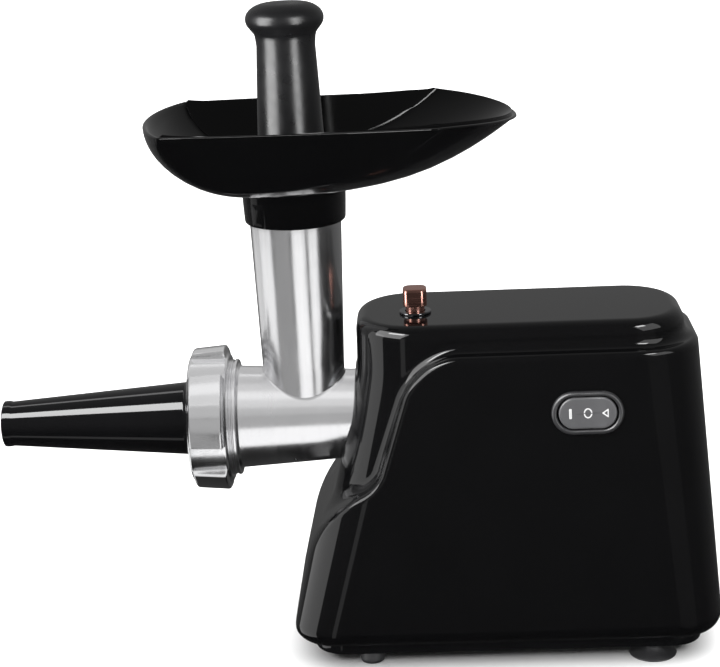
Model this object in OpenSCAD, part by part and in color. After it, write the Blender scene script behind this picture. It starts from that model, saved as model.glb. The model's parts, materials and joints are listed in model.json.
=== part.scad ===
// Electric meat grinder with a hopper pan, a food pusher and a sausage stuffing tube.
// The grinding head is a bayonet fit in the motor housing and is freed by the button on top.
// Millimetres. +X runs along the barrel towards the motor end, +Y points away from the
// switch side, +Z is up. The origin is on the table under the middle of the machine.
// Modules are drawn about the crossing of the barrel axis and the neck axis, then lifted
// into place by on_axis().

/* [Stance] */
// Height of the barrel axis above the table
axis_h = 129; // [128.5:0.1:129.5]
// Place of the neck axis along the machine
neck_x = -28.6; // [-32:0.1:-24]
// Half spacing of the feet across the machine
foot_y = 50; // [46:1:50]

/* [Housing] */
// Thickness of the housing wall
wall = 2.6; // [2.2:0.1:3]
// Height of the housing top above the barrel axis
top_z = 60; // [60:0.5:64]
// Depth of the step between the narrow tower and the wide lower shell
step_d = 9; // [7:0.5:9]
// Half width of the shell at its widest, near the table
base_w = 68; // [66:1:70]
// Half width of the flat-sided top
top_w = 42; // [40:1:43]
// Furthest point of the rear face
rear_x = 228; // [224:1:232]
// Width of one ventilation slot in the bottom cover
vent_w = 3; // [2:0.5:4]

/* [Grinding head] */
// Outer radius of the barrel where it plugs into the housing
barrel_r = 25; // [25:0.1:25.4]
// Outer radius of the barrel at its threaded end
barrel_front_r = 28.5; // [27.5:0.5:29]
// Radius of the barrel bore
bore_r = 22.3; // [21.5:0.1:22.5]
// Outer radius of the neck at its top
neck_r = 25.2; // [24.8:0.1:25.2]
// Radius of the feed bore in the neck
feed_r = 20; // [19.8:0.1:20.2]
// Height of the neck's top edge above the barrel axis
neck_top = 126; // [124:1:128]
// Radius of the thread under the ring nut
thread_r = 32.6; // [32:0.1:32.6]
// Radius over the gripping lugs of the ring nut
ring_r = 41.2; // [40.8:0.1:42]
// Number of gripping lugs on the ring nut
ring_lugs = 4; // [4:1:6]

/* [Stuffing tube] */
// Distance of the tube's tip in front of the neck axis
tube_tip = 172.3; // [150:1:180]
// Outer radius of the tube at its tip
tube_tip_r = 12.6; // [10:0.1:14]
// Outer radius of the tube where it leaves the ring nut
tube_root_r = 20.5; // [19:0.1:21]

/* [Hopper pan] */
// Height of the pan's rim above the barrel axis
rim_z = 171.6; // [168:0.5:176]
// Length of the pan from the neck to the tip of its spout
pan_front = 122.5; // [110:0.5:126]
// Length of the pan from the neck to its blunt end
pan_back = 79; // [76:0.5:82]
// Half width of the pan between its flat side walls
pan_w = 62.5; // [60:0.5:66]
// Thickness of the pan's wall
pan_t = 2.2; // [2:0.1:3]

/* [Pusher] */
// Height of the pusher's top above the barrel axis
pusher_top = 232; // [225:1:240]
// Radius of the pusher's grip
grip_r = 21.1; // [20:0.1:23]

/* [Gear train] */
// Tooth size of the fast stage
fast_module = 0.7; // [0.7:0.05:0.75]
// Teeth on the motor pinion
motor_teeth = 10; // [10:1:12]
// Teeth on the idler wheel
idler_teeth = 80; // [76:1:80]
// Tooth size of the slow stage
slow_module = 1.2; // [1.1:0.05:1.2]
// Teeth on the idler pinion
pinion_teeth = 11; // [11:1:12]
// Teeth on the output wheel
output_teeth = 66; // [60:1:66]

/* [Controls] */
// Travel of the release button
press = 3; // [2:0.5:3]
// Place of the release button from the neck axis, along the machine
button_x = 64; // [63:0.5:65]
// Place of the release button across the machine
button_y = -8; // [-10:1:-6]
// Place of the switch from the neck axis, along the machine
switch_x = 154.5; // [145:0.5:165]
// Height of the switch above the barrel axis
switch_z = 14.5; // [5:0.5:20]

/* [Hidden] */

$fn = 64;
slip = 0.3;          // gap between parts that pass each other
run = 0.08;          // radial clearance of a turning fit
thin = 0.01;         // thickness of a loft section

// Lower shell, from the bottom of its rounded edge up to the shelf under the top
shelf_z = 46;
belly_z = -103;
skirt_z = -115;
skirt_in = 8;
belly_front = -9;
belly_corner = 27;
shelf_corner = 34;
front_rake = 0.236;
rear_rake = 0.069;
side_rake = (base_w - top_w - step_d) / (shelf_z - belly_z);

// Narrow tower that carries the flat top
tower_foot_z = -50;
tower_bend_z = 30;
tower_front = 31;
tower_rake = 0.23;
tower_corner = 31;
rear_step = 6;
top_round = 7;

// Curve that ends the wide shell in front: an arc, a straight fall, an arc, a gentle run-out and a rounded toe
curve_x = 88;
curve_r = 34;
curve_fall = 72;
curve_foot_z = -17;
curve_foot_r = 18;
curve_out = 20;
toe_r = 28;
toe_stop = 158;
toe_end = 10;

// Bottom cover and feet
cover_z = -122;
cover_lip = 57.5;
foot_z = -axis_h;
front_foot_x = 33.6;
rear_foot_x = 189.5;
foot_r = 7;
cup_r = 13.1;
screw_spots = [[14, -40], [14, 40], [208, -38], [208, 38]];

// Barrel stations along X
thread_front = -59;
seat_x = -53.6;
flange_x = -38.8;
flange_end = -37.4;
barrel_taper_end = 26;
rear_wall_x = 54;
barrel_end = 68;
groove_x0 = 61;
groove_x1 = 66;
groove_r = 21;
twist = 45;

// Release yoke
yoke_x0 = 61.5;
yoke_x1 = 65.5;
yoke_r = 32.5;
yoke_hole = 27;
tooth_tip = 21.6;
tooth_w = 9;
stem_r = 3;

// Head socket and gear case
socket_x0 = 34;
socket_x1 = 57;
post_y = 33;
post_z = 22;
case_x0 = 72;
case_x1 = 106;
case_t = 2.5;

// Gear centres
slow_gap = slow_module * (output_teeth + pinion_teeth) / 2;
fast_gap = fast_module * (motor_teeth + idler_teeth) / 2;
idler_y = -18;
idler_z = -sqrt(slow_gap * slow_gap - idler_y * idler_y);
motor_z = idler_z - sqrt(fast_gap * fast_gap - idler_y * idler_y);
slow_angle = atan2(idler_z, idler_y);
fast_angle = atan2(motor_z - idler_z, -idler_y);
pressure = 25;
backlash = 0.2;

// Motor stations along X
fan_x = 114;
stack_x0 = 128;
stack_x1 = 166;
commutator_x0 = 172;
commutator_x1 = 184;
rear_bracket_x = 192;
armature_r = 20;
stator_h = 33;
stator_w = 40;

charcoal = [0.07, 0.07, 0.075];
black = [0.02, 0.02, 0.022];
silver = [0.78, 0.78, 0.8];
steel = [0.6, 0.61, 0.63];
copper = [0.55, 0.3, 0.24];
zinc = [0.5, 0.51, 0.53];

// ---------- placing helpers ----------

module on_axis() translate([neck_x, 0, axis_h]) children();

// Turns a shape drawn in XY so that it lies in YZ and is extruded along +X
module along_x(x = 0) translate([x, 0, 0]) rotate([90, 0, 90]) children();

module at_idler() translate([0, idler_y, idler_z]) children();

module at_motor() translate([0, 0, motor_z]) children();

module rod_x(x0, x1, r) along_x(x0) cylinder(h = x1 - x0, r = r);

module cone_x(x0, x1, r0, r1) along_x(x0) cylinder(h = x1 - x0, r1 = r0, r2 = r1);

module sleeve_x(x0, x1, ro, ri) difference() {
    rod_x(x0, x1, ro);
    rod_x(x0 - 1, x1 + 1, ri);
}

// ---------- gears ----------

function roll(rb, r) = r <= rb ? 0 : sqrt(r * r / (rb * rb) - 1) * 180 / PI - acos(rb / r);

// Half the angle that a tooth fills at radius r
function tooth_half(z, m, r) =
    let (rp = m * z / 2, rb = rp * cos(pressure))
    90 / z + roll(rb, rp) - roll(rb, r) - backlash / 2 / rp * 180 / PI;

function gear_points(z, m) =
    let (rp = m * z / 2, radii = [rp - 1.2 * m, rp - 0.5 * m, rp, rp + 0.85 * m])
    [for (i = [0 : z - 1]) for (side = [-1, 1]) for (k = [0 : 3])
        let (r = radii[side < 0 ? k : 3 - k], a = i * 360 / z + side * tooth_half(z, m, r))
        r * [cos(a), sin(a)]];

module gear(z, m, face, turn) rotate(turn) linear_extrude(face) polygon(gear_points(z, m));

// ---------- housing ----------

// One thin level of a loft: a rounded rectangle from x0 to x1 with half width w
module level(z, x0, x1, w, r) translate([0, 0, z]) hull()
    for (x = [x0 + r, x1 - r]) for (y = [r - w, w - r])
        translate([x, y, 0]) cylinder(h = thin, r = r, $fn = 40);

function shell_front(z) = belly_front + front_rake * (z - belly_z);
function shell_rear(z) = rear_x - rear_rake * (z - belly_z);
function shell_w(z) = base_w - side_rake * (z - belly_z);
function tower_x(z) = z > tower_bend_z ? tower_front : tower_front - tower_rake * (tower_bend_z - z);
function tower_w(z) = shell_w(z) - step_d;

// Level of the wide shell, drawn in by d
module shell_level(z, d, inset = 0)
    level(z, shell_front(max(z, belly_z)) + d + inset, shell_rear(max(z, belly_z)) - d - inset,
          shell_w(max(z, belly_z)) - d - inset, (z > 0 ? shelf_corner : belly_corner) - d - inset / 2);

module tower_level(z, d, inset = 0)
    level(z, tower_x(z) + d + inset, shell_rear(z) - rear_step - d - inset,
          tower_w(z) - d - inset, tower_corner - d - inset / 2);

function arc_xz(cx, cz, r, a0, a1, n) =
    [for (i = [0 : n]) let (a = a0 + (a1 - a0) * i / n) [cx + r * cos(a), cz + r * sin(a)]];

// Side outline of the wide shell: all that lies below and behind the S-shaped curve
function shell_curve(d) =
    let (upper_z = shelf_z - curve_r,
         fall_x = curve_x - curve_r * sin(curve_fall),
         fall_z = upper_z + curve_r * cos(curve_fall),
         foot_x = fall_x - (fall_z - curve_foot_z) / tan(curve_fall),
         low_x = foot_x - curve_foot_r * sin(curve_fall),
         low_z = curve_foot_z + curve_foot_r * cos(curve_fall),
         out_x = low_x + (curve_foot_r + d) * sin(curve_out),
         out_z = low_z - (curve_foot_r + d) * cos(curve_out),
         r = toe_r - d,
         front = shell_front(0) + d + r * norm([1, front_rake]),
         toe_z = (out_z * cos(curve_out) + (front - out_x) * sin(curve_out) - r)
                 / (cos(curve_out) - front_rake * sin(curve_out)),
         toe_x = front + front_rake * toe_z,
         end_x = toe_x + r * cos(toe_stop) - toe_end * sin(toe_stop),
         end_z = toe_z + r * sin(toe_stop) + toe_end * cos(toe_stop))
    concat([[260, skirt_z - 1], [260, shelf_z - d]],
           arc_xz(curve_x, upper_z, curve_r - d, 90, 90 + curve_fall, 14),
           arc_xz(low_x, low_z, curve_foot_r + d, -90 + curve_fall, -90 + curve_out, 8),
           arc_xz(toe_x, toe_z, r, 90 + curve_out, toe_stop, 8),
           [[end_x, end_z], [end_x - 60, end_z], [end_x - 60, skirt_z - 1]]);

module wide_shell(d) intersection() {
    union() {
        hull() {
            shell_level(belly_z, d);
            shell_level(shelf_z, d);
        }
        hull() {
            shell_level(skirt_z, d, skirt_in);
            shell_level(skirt_z + 3, d, 4);
            shell_level(belly_z - 4, d, 1);
            shell_level(belly_z, d);
        }
    }
    rotate([90, 0, 0]) linear_extrude(2 * base_w + 10, center = true) polygon(shell_curve(d));
}

module tower(d) {
    hull() {
        tower_level(tower_foot_z, d);
        tower_level(tower_bend_z, d);
    }
    hull() {
        tower_level(tower_bend_z, d);
        tower_level(top_z - top_round - thin, d);
        tower_level(top_z - top_round * 0.5, d, top_round * 0.14);
        tower_level(top_z - top_round * 0.13, d, top_round * 0.5);
        tower_level(top_z - d - thin, d, top_round);
    }
}

// Direction of the side wall at the switch, as a tilt about X
side_tilt = atan(side_rake);

// Brings children from the XY plane onto the side wall: +Z points outwards, +Y up the wall
module on_side() translate([switch_x, -shell_w(switch_z), switch_z]) rotate([90 - side_tilt, 0, 0]) children();

module pill(l, h, depth) {
    translate([h / 2 - l / 2, -h / 2, 0]) cube([l - h, h, depth]);
    for (s = [-1, 1]) translate([s * (l - h) / 2, 0, 0]) cylinder(h = depth, d = h);
}

boss_h = 30;
boss_r = 3.8;
web_lift = 2.8;

// A round boss for a cover screw, with a web that starts above the cover's lip and ties it to the end wall
module screw_boss(side) {
    cylinder(h = boss_h, r = boss_r, $fn = 24);
    translate([side > 0 ? 0 : -24, -1, web_lift]) cube([24, 2, boss_h - web_lift]);
}

module housing_shell() color(black) difference() {
    on_axis() difference() {
        union() {
            wide_shell(0);
            tower(0);
        }
        difference() {
            union() {
                wide_shell(wall);
                tower(wall);
                hull() {
                    shell_level(skirt_z - 2, wall, skirt_in);
                    shell_level(skirt_z + 2, wall, skirt_in);
                }
            }
            for (p = screw_spots) translate([p[0], p[1], skirt_z + 2]) screw_boss(p[0] > 100 ? 1 : -1);
        }
        for (p = screw_spots) translate([p[0], p[1], skirt_z - 1]) cylinder(h = 22, r = 1.4, $fn = 16);
        along_x(0) cylinder(h = socket_x0 + 4, r = barrel_r + 1.9, $fn = 96);
        translate([button_x, button_y, top_z - 12]) cylinder(h = 20, r = 7.5, $fn = 48);
        on_side() translate([0, 0, -12]) pill(34, 19, 24);
        translate([rear_x - 20, 0, -88]) rotate([0, 90, 0]) cylinder(h = 40, r = 6.2, $fn = 32);
    }
}

// Flat outline of the bottom cover, drawn from squares and circles so that it stays exact
module cover_outline(d) {
    x0 = belly_front + skirt_in + 3 + d;
    x1 = rear_x - skirt_in - 3 - d;
    w = cover_lip - d;
    r = 17 - d;
    translate([x0 + r, -w]) square([x1 - x0 - 2 * r, 2 * w]);
    translate([x0, r - w]) square([x1 - x0, 2 * (w - r)]);
    for (x = [x0 + r, x1 - r]) for (y = [r - w, w - r]) translate([x, y]) circle(r = r);
}

module bottom_cover() color(black) on_axis() difference() {
    union() {
        translate([0, 0, cover_z]) linear_extrude(skirt_z - cover_z) cover_outline(0);
        translate([0, 0, skirt_z - 1]) linear_extrude(5) cover_outline(2.6);
        for (y = [-foot_y, foot_y]) translate([rear_foot_x, y, cover_z]) cylinder(h = 6, r = 7);
    }
    translate([0, 0, cover_z + 2.6]) linear_extrude(20) cover_outline(4.6);
    for (i = [-5 : 5]) translate([112 + i * 2.4 * vent_w, -26, cover_z - 1]) cube([vent_w, 52, 10]);
    for (p = screw_spots) translate([p[0], p[1], cover_z - 1]) cylinder(h = 10, r = 2);
    for (p = screw_spots) translate([p[0], p[1], cover_z - 1]) cylinder(h = 2.2, r = 4.4);
    for (y = [-foot_y, foot_y]) translate([front_foot_x, y, cover_z - 1]) cylinder(h = 5, r = 3.2);
    for (y = [-foot_y, foot_y]) translate([rear_foot_x, y, cover_z - 1]) cylinder(h = 5, r = 3.2);
}

module screw_down(head_r, head_h, shank_r, shank) {
    difference() {
        cylinder(h = head_h, r = head_r);
        translate([0, 0, -0.1]) for (a = [0, 90]) rotate(a)
            translate([-head_r * 0.6, -0.4, 0]) cube([head_r * 1.2, 0.8, head_h * 0.5]);
    }
    translate([0, 0, head_h]) cylinder(h = shank, r = shank_r);
}

module cover_screws() color(steel) on_axis()
    for (p = screw_spots) translate([p[0], p[1], cover_z - 0.8]) screw_down(3.8, 2, 1.35, 16);

module front_feet() color(charcoal) on_axis() for (y = [-foot_y, foot_y]) translate([front_foot_x, y, foot_z]) {
    cylinder(h = 2, r1 = foot_r - 0.6, r2 = foot_r);
    translate([0, 0, 2]) cylinder(h = cover_z - foot_z - 2, r = foot_r);
    translate([0, 0, cover_z - foot_z]) cylinder(h = 3, r = 3);
}

module suction_feet() color(charcoal) on_axis() for (y = [-foot_y, foot_y]) translate([rear_foot_x, y, foot_z])
    rotate_extrude() polygon([[0, 1.4], [cup_r * 0.6, 0.9], [cup_r - 0.6, 0], [cup_r, 0.5], [cup_r - 0.4, 1.3],
                              [cup_r * 0.6, 2.8], [5.6, 4], [5, 5.4], [7, 6.2], [7, 7], [3, 7], [3, 10], [0, 10]]);

module cord_inlet_bush() color(charcoal) on_axis() translate([shell_rear(-88) - wall - 3, 0, -88]) rotate([0, 90, 0])
    difference() {
        union() {
            cylinder(h = 8, r = 6);
            cylinder(h = 2.2, r = 8);
            translate([0, 0, 3 + wall + 0.9]) cylinder(h = 1.6, r = 8.4);
        }
        translate([0, 0, -1]) cylinder(h = 12, r = 3.6);
    }

// ---------- switch ----------

rocker_l = 32.3;
rocker_h = 17.7;
bezel_l = 38.8;
bezel_h = 23.4;

module switch_bezel() color(charcoal) on_axis() on_side() difference() {
    union() {
        pill(bezel_l, bezel_h, 2.4);
        translate([0, 0, -9]) pill(33.4, 18.6, 9.5);
    }
    translate([0, 0, -7.5]) pill(31, 16.4, 4);
    translate([0, 0, -5.4]) pill(rocker_l + 0.7, rocker_h + 0.6, 10);
}

// The rocker turns about a line up the wall, through its own middle
module switch_rocker() color([0.12, 0.12, 0.125]) on_axis() on_side() difference() {
    translate([0, 0, -2.6]) pill(rocker_l - 1.2, rocker_h - 0.4, 5.2);
    translate([0, 20, 62]) rotate([90, 0, 0]) cylinder(h = 40, r = 60.2, $fn = 200);
}

module switch_body() color(charcoal) on_axis() on_side() difference() {
    translate([-14, -7.6, -27]) cube([28, 15.2, 18]);
    for (x = [-9, 0, 9]) translate([x - 3.2, -1, -28]) cube([6.4, 2, 4]);
}

module switch_terminals() color(steel) on_axis() on_side()
    for (x = [-9, 0, 9]) translate([x - 3, -0.4, -36]) cube([6, 0.8, 11]);

// ---------- release ----------

cap_low = top_z + 4.6;
cap_top = top_z + 14.4;
cap_w = 13.2;

module at_button(z = 0) translate([button_x, button_y, z]) children();

module release_button() color(copper) on_axis() at_button() {
    difference() {
        union() {
            intersection() {
                translate([-cap_w / 2, -cap_w / 2, cap_low]) cube([cap_w, cap_w, cap_top - cap_low]);
                translate([0, 0, top_z]) cylinder(h = 20, r = cap_w * 0.62);
            }
            translate([0, 0, top_z - 4]) cylinder(h = 10, r = 5.2);
        }
        translate([0, 0, top_z - 5]) cylinder(h = 7, r = 4.4);
        translate([0, 0, top_z]) cylinder(h = 8, r = 2.2);
    }
}

module button_collar() color(steel) on_axis() at_button() difference() {
    union() {
        translate([0, 0, top_z]) cylinder(h = 1.5, r = 8.8);
        translate([0, 0, top_z - 19]) cylinder(h = 19.5, r = 7);
    }
    translate([0, 0, top_z - 17]) cylinder(h = 20, r = 5.6);
    translate([0, 0, top_z - 20]) cylinder(h = 6, r = stem_r + run);
}

module lock_stem() color(steel) on_axis() at_button() {
    translate([0, 0, yoke_r - 4]) cylinder(h = top_z + 1 - yoke_r + 4, r = stem_r);
    translate([0, 0, top_z + 1]) cylinder(h = 6, r = 2.2);
}

// A plate round the barrel. Its tooth sits in the barrel's groove from below until it is pressed down.
module lock_yoke() color(steel) on_axis() along_x(yoke_x0) linear_extrude(yoke_x1 - yoke_x0) {
    difference() {
        union() {
            circle(r = yoke_r);
            translate([button_y - 6, 0]) square([12, yoke_r + 3]);
        }
        circle(r = yoke_hole);
        translate([0, press + 0.6]) circle(r = yoke_hole);
        translate([button_y - stem_r, yoke_r - 4]) square([2 * stem_r, 10]);
    }
    translate([-tooth_w / 2, -yoke_hole - 1.5]) square([tooth_w, yoke_hole + 1.5 - tooth_tip]);
}

function helix_ring(t, turns, r, wire, h, sides) =
    [for (k = [0 : sides - 1]) let (a = t * turns * 360, b = k * 360 / sides, q = r + wire * cos(b))
        [q * cos(a), q * sin(a), wire + t * (h - 2 * wire) + wire * sin(b)]];

// A coil of round wire as one closed solid
module coil(turns, r, wire, h, steps, sides = 6) {
    n = round(turns * steps);
    points = [for (i = [0 : n]) each helix_ring(i / n, turns, r, wire, h, sides)];
    ends = [[for (k = [0 : sides - 1]) k], [for (k = [sides - 1 : -1 : 0]) n * sides + k]];
    skin = [for (i = [0 : n - 1]) for (k = [0 : sides - 1])
        let (a = i * sides + k, b = i * sides + (k + 1) % sides)
        each [[a, a + sides, b + sides], [a, b + sides, b]]];
    polyhedron(points, concat(ends, skin), convexity = 10);
}

module lock_spring() color(steel) on_axis() at_button(top_z - 16.8) coil(6, 3.9, 0.4, 18, 12);

// ---------- head socket ----------

module head_socket() color(zinc) on_axis() difference() {
    union() {
        rod_x(socket_x0, socket_x1, barrel_r + 4.4);
        rod_x(50, 55, 42);
        for (y = [-post_y, post_y]) for (z = [-post_z, post_z])
            translate([0, y, z]) rod_x(50, case_x0, 4.4);
    }
    rod_x(socket_x0 - 1, socket_x1 + 1, barrel_r + run);
    for (y = [-post_y, post_y]) for (z = [-post_z, post_z])
        translate([0, y, z]) rod_x(40, case_x0 + 1, 1.7);
}

module socket_screws() color(steel) on_axis() for (y = [-post_y, post_y]) for (z = [-post_z, post_z])
    translate([47.6, y, z]) rotate([0, 90, 0]) screw_down(3.6, 2.4, 1.6, 26);

// ---------- grinding head ----------

// Sector of a ring drawn about the X axis, from angle a0 to a1 measured from +Y towards +Z
module arc_cut(x0, x1, r0, r1, a0, a1)
    along_x(x0) rotate(a0) rotate_extrude(angle = a1 - a0) translate([r0, 0]) square([r1 - r0, x1 - x0]);

module grinder_head() color(silver) on_axis() difference() {
    union() {
        rod_x(thread_front, flange_x, thread_r - 1);
        for (i = [0 : 5]) rod_x(thread_front + 1.5 + i * 3, thread_front + 3 + i * 3, thread_r);
        cone_x(flange_x, flange_end, 32.9, 32.6);
        cone_x(flange_end, flange_end + 1.6, 30.6, barrel_front_r);
        cone_x(flange_end, barrel_taper_end, barrel_front_r, barrel_r + 0.1);
        rod_x(barrel_taper_end, barrel_end, barrel_r);
        cylinder(h = 32, r = 22.95);
        translate([0, 0, 32]) cylinder(h = 80, r1 = 22.95, r2 = neck_r);
        translate([0, 0, 112]) cylinder(h = neck_top - 112, r = neck_r);
    }
    rod_x(thread_front - 1, rear_wall_x, bore_r);
    rod_x(thread_front - 1, seat_x, 27);
    rod_x(rear_wall_x - 1, barrel_end + 1, 10.5);
    cylinder(h = neck_top + 1, r = feed_r);
    arc_cut(groove_x0, groove_x1, groove_r, barrel_r + 1, -90 - 13, -90 + 13 + twist);
}

module head_bush() color([0.85, 0.84, 0.8]) on_axis() difference() {
    union() {
        rod_x(rear_wall_x, barrel_end - 1, 10.5);
        rod_x(rear_wall_x - 1.5, rear_wall_x, 13);
    }
    rod_x(rear_wall_x - 3, barrel_end + 1, 8 + run);
}

auger_front = -51;
auger_back = 49;
auger_turns = 4;
flight_r = bore_r - 0.6;
core_r = 9.5;
flight_arc = 62;

// One slice of the screw: the round core and a single flight, which the extrusion winds along the axis
module auger_slice() {
    flank = flight_arc / 2;
    polygon([for (i = [0 : 4]) flight_r * [cos(flank * 0.7 * (i - 2) / 2), sin(flank * 0.7 * (i - 2) / 2)],
             for (i = [0 : 12]) let (a = flank + (360 - 2 * flank) * i / 12) core_r * [cos(a), sin(a)]]);
}

module auger_screw() color(silver) on_axis() along_x(auger_front)
    linear_extrude(auger_back - auger_front, twist = -360 * auger_turns, slices = 20 * auger_turns, $fn = 8)
        auger_slice();

module auger_drive_shaft() color(steel) on_axis() {
    rod_x(auger_back, 70, 8);
    along_x(70) cylinder(h = 14, r = 7.5, $fn = 6);
}

module auger_front_pin() color(steel) on_axis() rod_x(-60, auger_front, 4);

module auger_washer() color([0.2, 0.2, 0.2]) on_axis() sleeve_x(auger_back + 0.2, 52.2, 12.5, 8.4);

module separator_plate() color(black) on_axis() {
    difference() {
        rod_x(-57.9, -53.7, 26.7);
        rod_x(-60, -50, 20.5);
    }
    difference() {
        union() {
            rod_x(-57.9, -53.7, 7.5);
            for (a = [30, 150, 270]) along_x(-57.9) rotate(a) translate([0, -2]) cube([22, 4, 4.2]);
        }
        rod_x(-60, -50, 4.3);
    }
}

tube_flange_x = -60.9;

module stuffing_tube() color(black) on_axis() along_x() rotate_extrude($fn = 96) polygon([
    [26.7, -58.1], [26.7, tube_flange_x], [22.2, tube_flange_x], [22.2, -65.5], [21.2, -66.5],
    [tube_root_r, -68.5], [tube_tip_r, 4 - tube_tip], [tube_tip_r + 0.5, 3 - tube_tip],
    [tube_tip_r + 0.5, 1 - tube_tip], [tube_tip_r, -tube_tip], [tube_tip_r - 1.7, -tube_tip],
    [tube_root_r - 2.2, -64], [18.5, -58.1]]);

ring_front = -64;
ring_back = -43;
ring_end = -41.8;
lug_half = 124 / ring_lugs;
lug_turn = 66.5;
lug_flare = 1.7;

// A gripping lug about angle a, measured from +Y towards +Z, that stands higher at its back end
module ring_lug(a) {
    front = ring_front + 1.2;
    long = ring_back - 0.4 - front;
    along_x(front) rotate(a - lug_half) rotate_extrude(angle = 2 * lug_half)
        polygon([[34, 0], [ring_r - lug_flare, 0], [ring_r, long], [34, long]]);
}

module ring_nut() color(silver) on_axis() difference() {
    union() {
        rod_x(ring_front, ring_back, 36.4);
        cone_x(ring_back, ring_end, 36.4, 35.2);
        for (i = [0 : ring_lugs - 1]) ring_lug(lug_turn + i * 360 / ring_lugs);
    }
    rod_x(-61, ring_end + 1, thread_r + slip);
    rod_x(ring_front - 1, -60, 22.2 + slip);
}

// ---------- hopper pan ----------

// The pan is a shallow dish, longer towards its spout, cut off by a flat wall on each side
dish_x = -23;
dish_w = 86.5;
dish_floor = 131;
back_power = 1.8;
front_power = 3.6;
side_bow = 5;
side_slope = 12;
spout_x = 80;
spout_dip = 4;
pan_steps = 72;
collar_z = 113.4;
collar_r = 27.7;

function dish_reach(x) = x > dish_x ? pan_front - dish_x : pan_back + dish_x;
function dish_at(x, y, grow) = norm([(x - dish_x) / (dish_reach(x) + grow), y / (dish_w + grow)]);
function side_at(x) = pan_w - side_bow * pow((x - 30) / 95, 2);
function rim_at(x) = rim_z - spout_dip * pow(max(0, (x - spout_x) / (pan_front - spout_x)), 1.5);

// Height of the dish's surface: steep at the blunt end, gentle along the spout
function dish_height(x, y, grow) =
    let (q = min(1, dish_at(x, y, grow)), lean = (1 + (x - dish_x) / norm([x - dish_x, y, 1])) / 2)
    (1 - lean) * (1 - sqrt(1 - pow(q, back_power))) + lean * pow(q, front_power);

// Surface height with the side walls, for the outside (grow 0) or the inside (grow -pan_t)
function pan_height(x, y, grow) =
    let (dish = dish_floor + dish_height(x, y, grow) * (rim_at(x) - dish_floor),
         side = rim_z - (side_at(x) + grow - abs(y)) / tan(side_slope))
    min(rim_at(x), max(dish, side));

// Distance from the neck axis to the rim in direction a, by halving the interval
function rim_reach(a, grow, low = 30, high = 150, n = 22) =
    n == 0 ? low :
    let (mid = (low + high) / 2, x = mid * cos(a), y = mid * sin(a),
         inside = dish_at(x, y, grow) < 1 && abs(y) < side_at(x) + grow)
    inside ? rim_reach(a, grow, mid, high, n - 1) : rim_reach(a, grow, low, mid, n - 1);

function pan_ring(s, from_r, grow, lift) =
    [for (i = [0 : pan_steps - 1])
        let (a = i * 360 / pan_steps, d = from_r + (rim_reach(a, grow) - from_r) * s,
             x = d * cos(a), y = d * sin(a), z = pan_height(x, y, grow))
        [x, y, s == 1 ? rim_at(x) : z + lift]];

function round_ring(r, z) = [for (i = [0 : pan_steps - 1]) let (a = i * 360 / pan_steps) [r * cos(a), r * sin(a), z]];

pan_stations = [0.06, 0.2, 0.36, 0.52, 0.66, 0.78, 0.87, 0.92, 0.96, 1];

// Rings from the feed hole up the inside, over the rim, down the outside and round the collar
pan_rings = concat(
    [round_ring(feed_r, neck_top + 0.4), round_ring(feed_r, dish_floor + pan_t)],
    [for (s = pan_stations) pan_ring(s, feed_r, -pan_t, pan_t)],
    [for (k = [len(pan_stations) - 1 : -1 : 0]) pan_ring(pan_stations[k], collar_r + 1.5, 0, 0)],
    [round_ring(collar_r + 1.2, dish_floor), round_ring(collar_r + 0.9, 124), round_ring(collar_r, collar_z + 1),
     round_ring(collar_r - 0.8, collar_z), round_ring(neck_r + slip, collar_z),
     round_ring(neck_r + slip, neck_top + 0.4)]);

module hopper_pan() color(black) on_axis() {
    rings = len(pan_rings);
    skin = [for (j = [0 : rings - 1]) for (i = [0 : pan_steps - 1])
        let (a = j * pan_steps + i, b = j * pan_steps + (i + 1) % pan_steps,
             c = ((j + 1) % rings) * pan_steps + (i + 1) % pan_steps, d = ((j + 1) % rings) * pan_steps + i)
        each [[a, b, c], [a, c, d]]];
    polyhedron([for (ring = pan_rings) each ring], skin, convexity = 8);
}

// ---------- pusher ----------

pusher_foot = 27;
pusher_wall = 2.4;
grip_flat = 11;
grip_h = 8.6;

function pusher_r(z) = 15.7 + 3.5 * (1 - pow(max(0, (z - 100) / (pusher_top - 20 - 100)), 1.6));

module food_pusher() color([0.16, 0.16, 0.165]) on_axis() rotate_extrude($fn = 96) polygon(concat(
    [for (z = [pusher_foot : 25 : pusher_top - 30]) [pusher_r(z), z]],
    [[pusher_r(pusher_top - 20), pusher_top - 20], [16.1, pusher_top - 17.4]],
    [for (a = [-55 : 14.5 : 90]) [grip_flat + (grip_r - grip_flat) * cos(a), pusher_top - grip_h * (1 - sin(a))]],
    [[0, pusher_top], [0, pusher_top - 3], [13, pusher_top - 6]],
    [for (z = [pusher_top - 30 : -25 : pusher_foot]) [pusher_r(z) - pusher_wall, z]],
    [[pusher_r(pusher_foot) - pusher_wall, pusher_foot]]));

// ---------- gear case ----------

module case_outline(d) {
    circle(r = 45.5 - d);
    translate([idler_y, idler_z]) circle(r = 32.5 - d);
    translate([0, motor_z]) circle(r = 16 - d);
}

module gear_case() color(zinc) on_axis() difference() {
    along_x(case_x0) linear_extrude(case_x1 - case_x0 - 4) case_outline(0);
    along_x(case_x0 + 4) linear_extrude(40) case_outline(case_t);
    rod_x(case_x0 - 1, case_x0 + 5, 15);
    at_idler() rod_x(case_x0 + 1, case_x0 + 5, 4);
    for (y = [-post_y, post_y]) for (z = [-post_z, post_z]) translate([0, y, z]) rod_x(case_x0 - 1, case_x0 + 5, 1.7);
    for (a = case_screw_angles) along_x(case_x1 - 10) rotate(a) translate([44.2, 0]) cylinder(h = 8, r = 0.8);
}

case_screw_angles = [20, 90, 160, 350];

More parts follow.
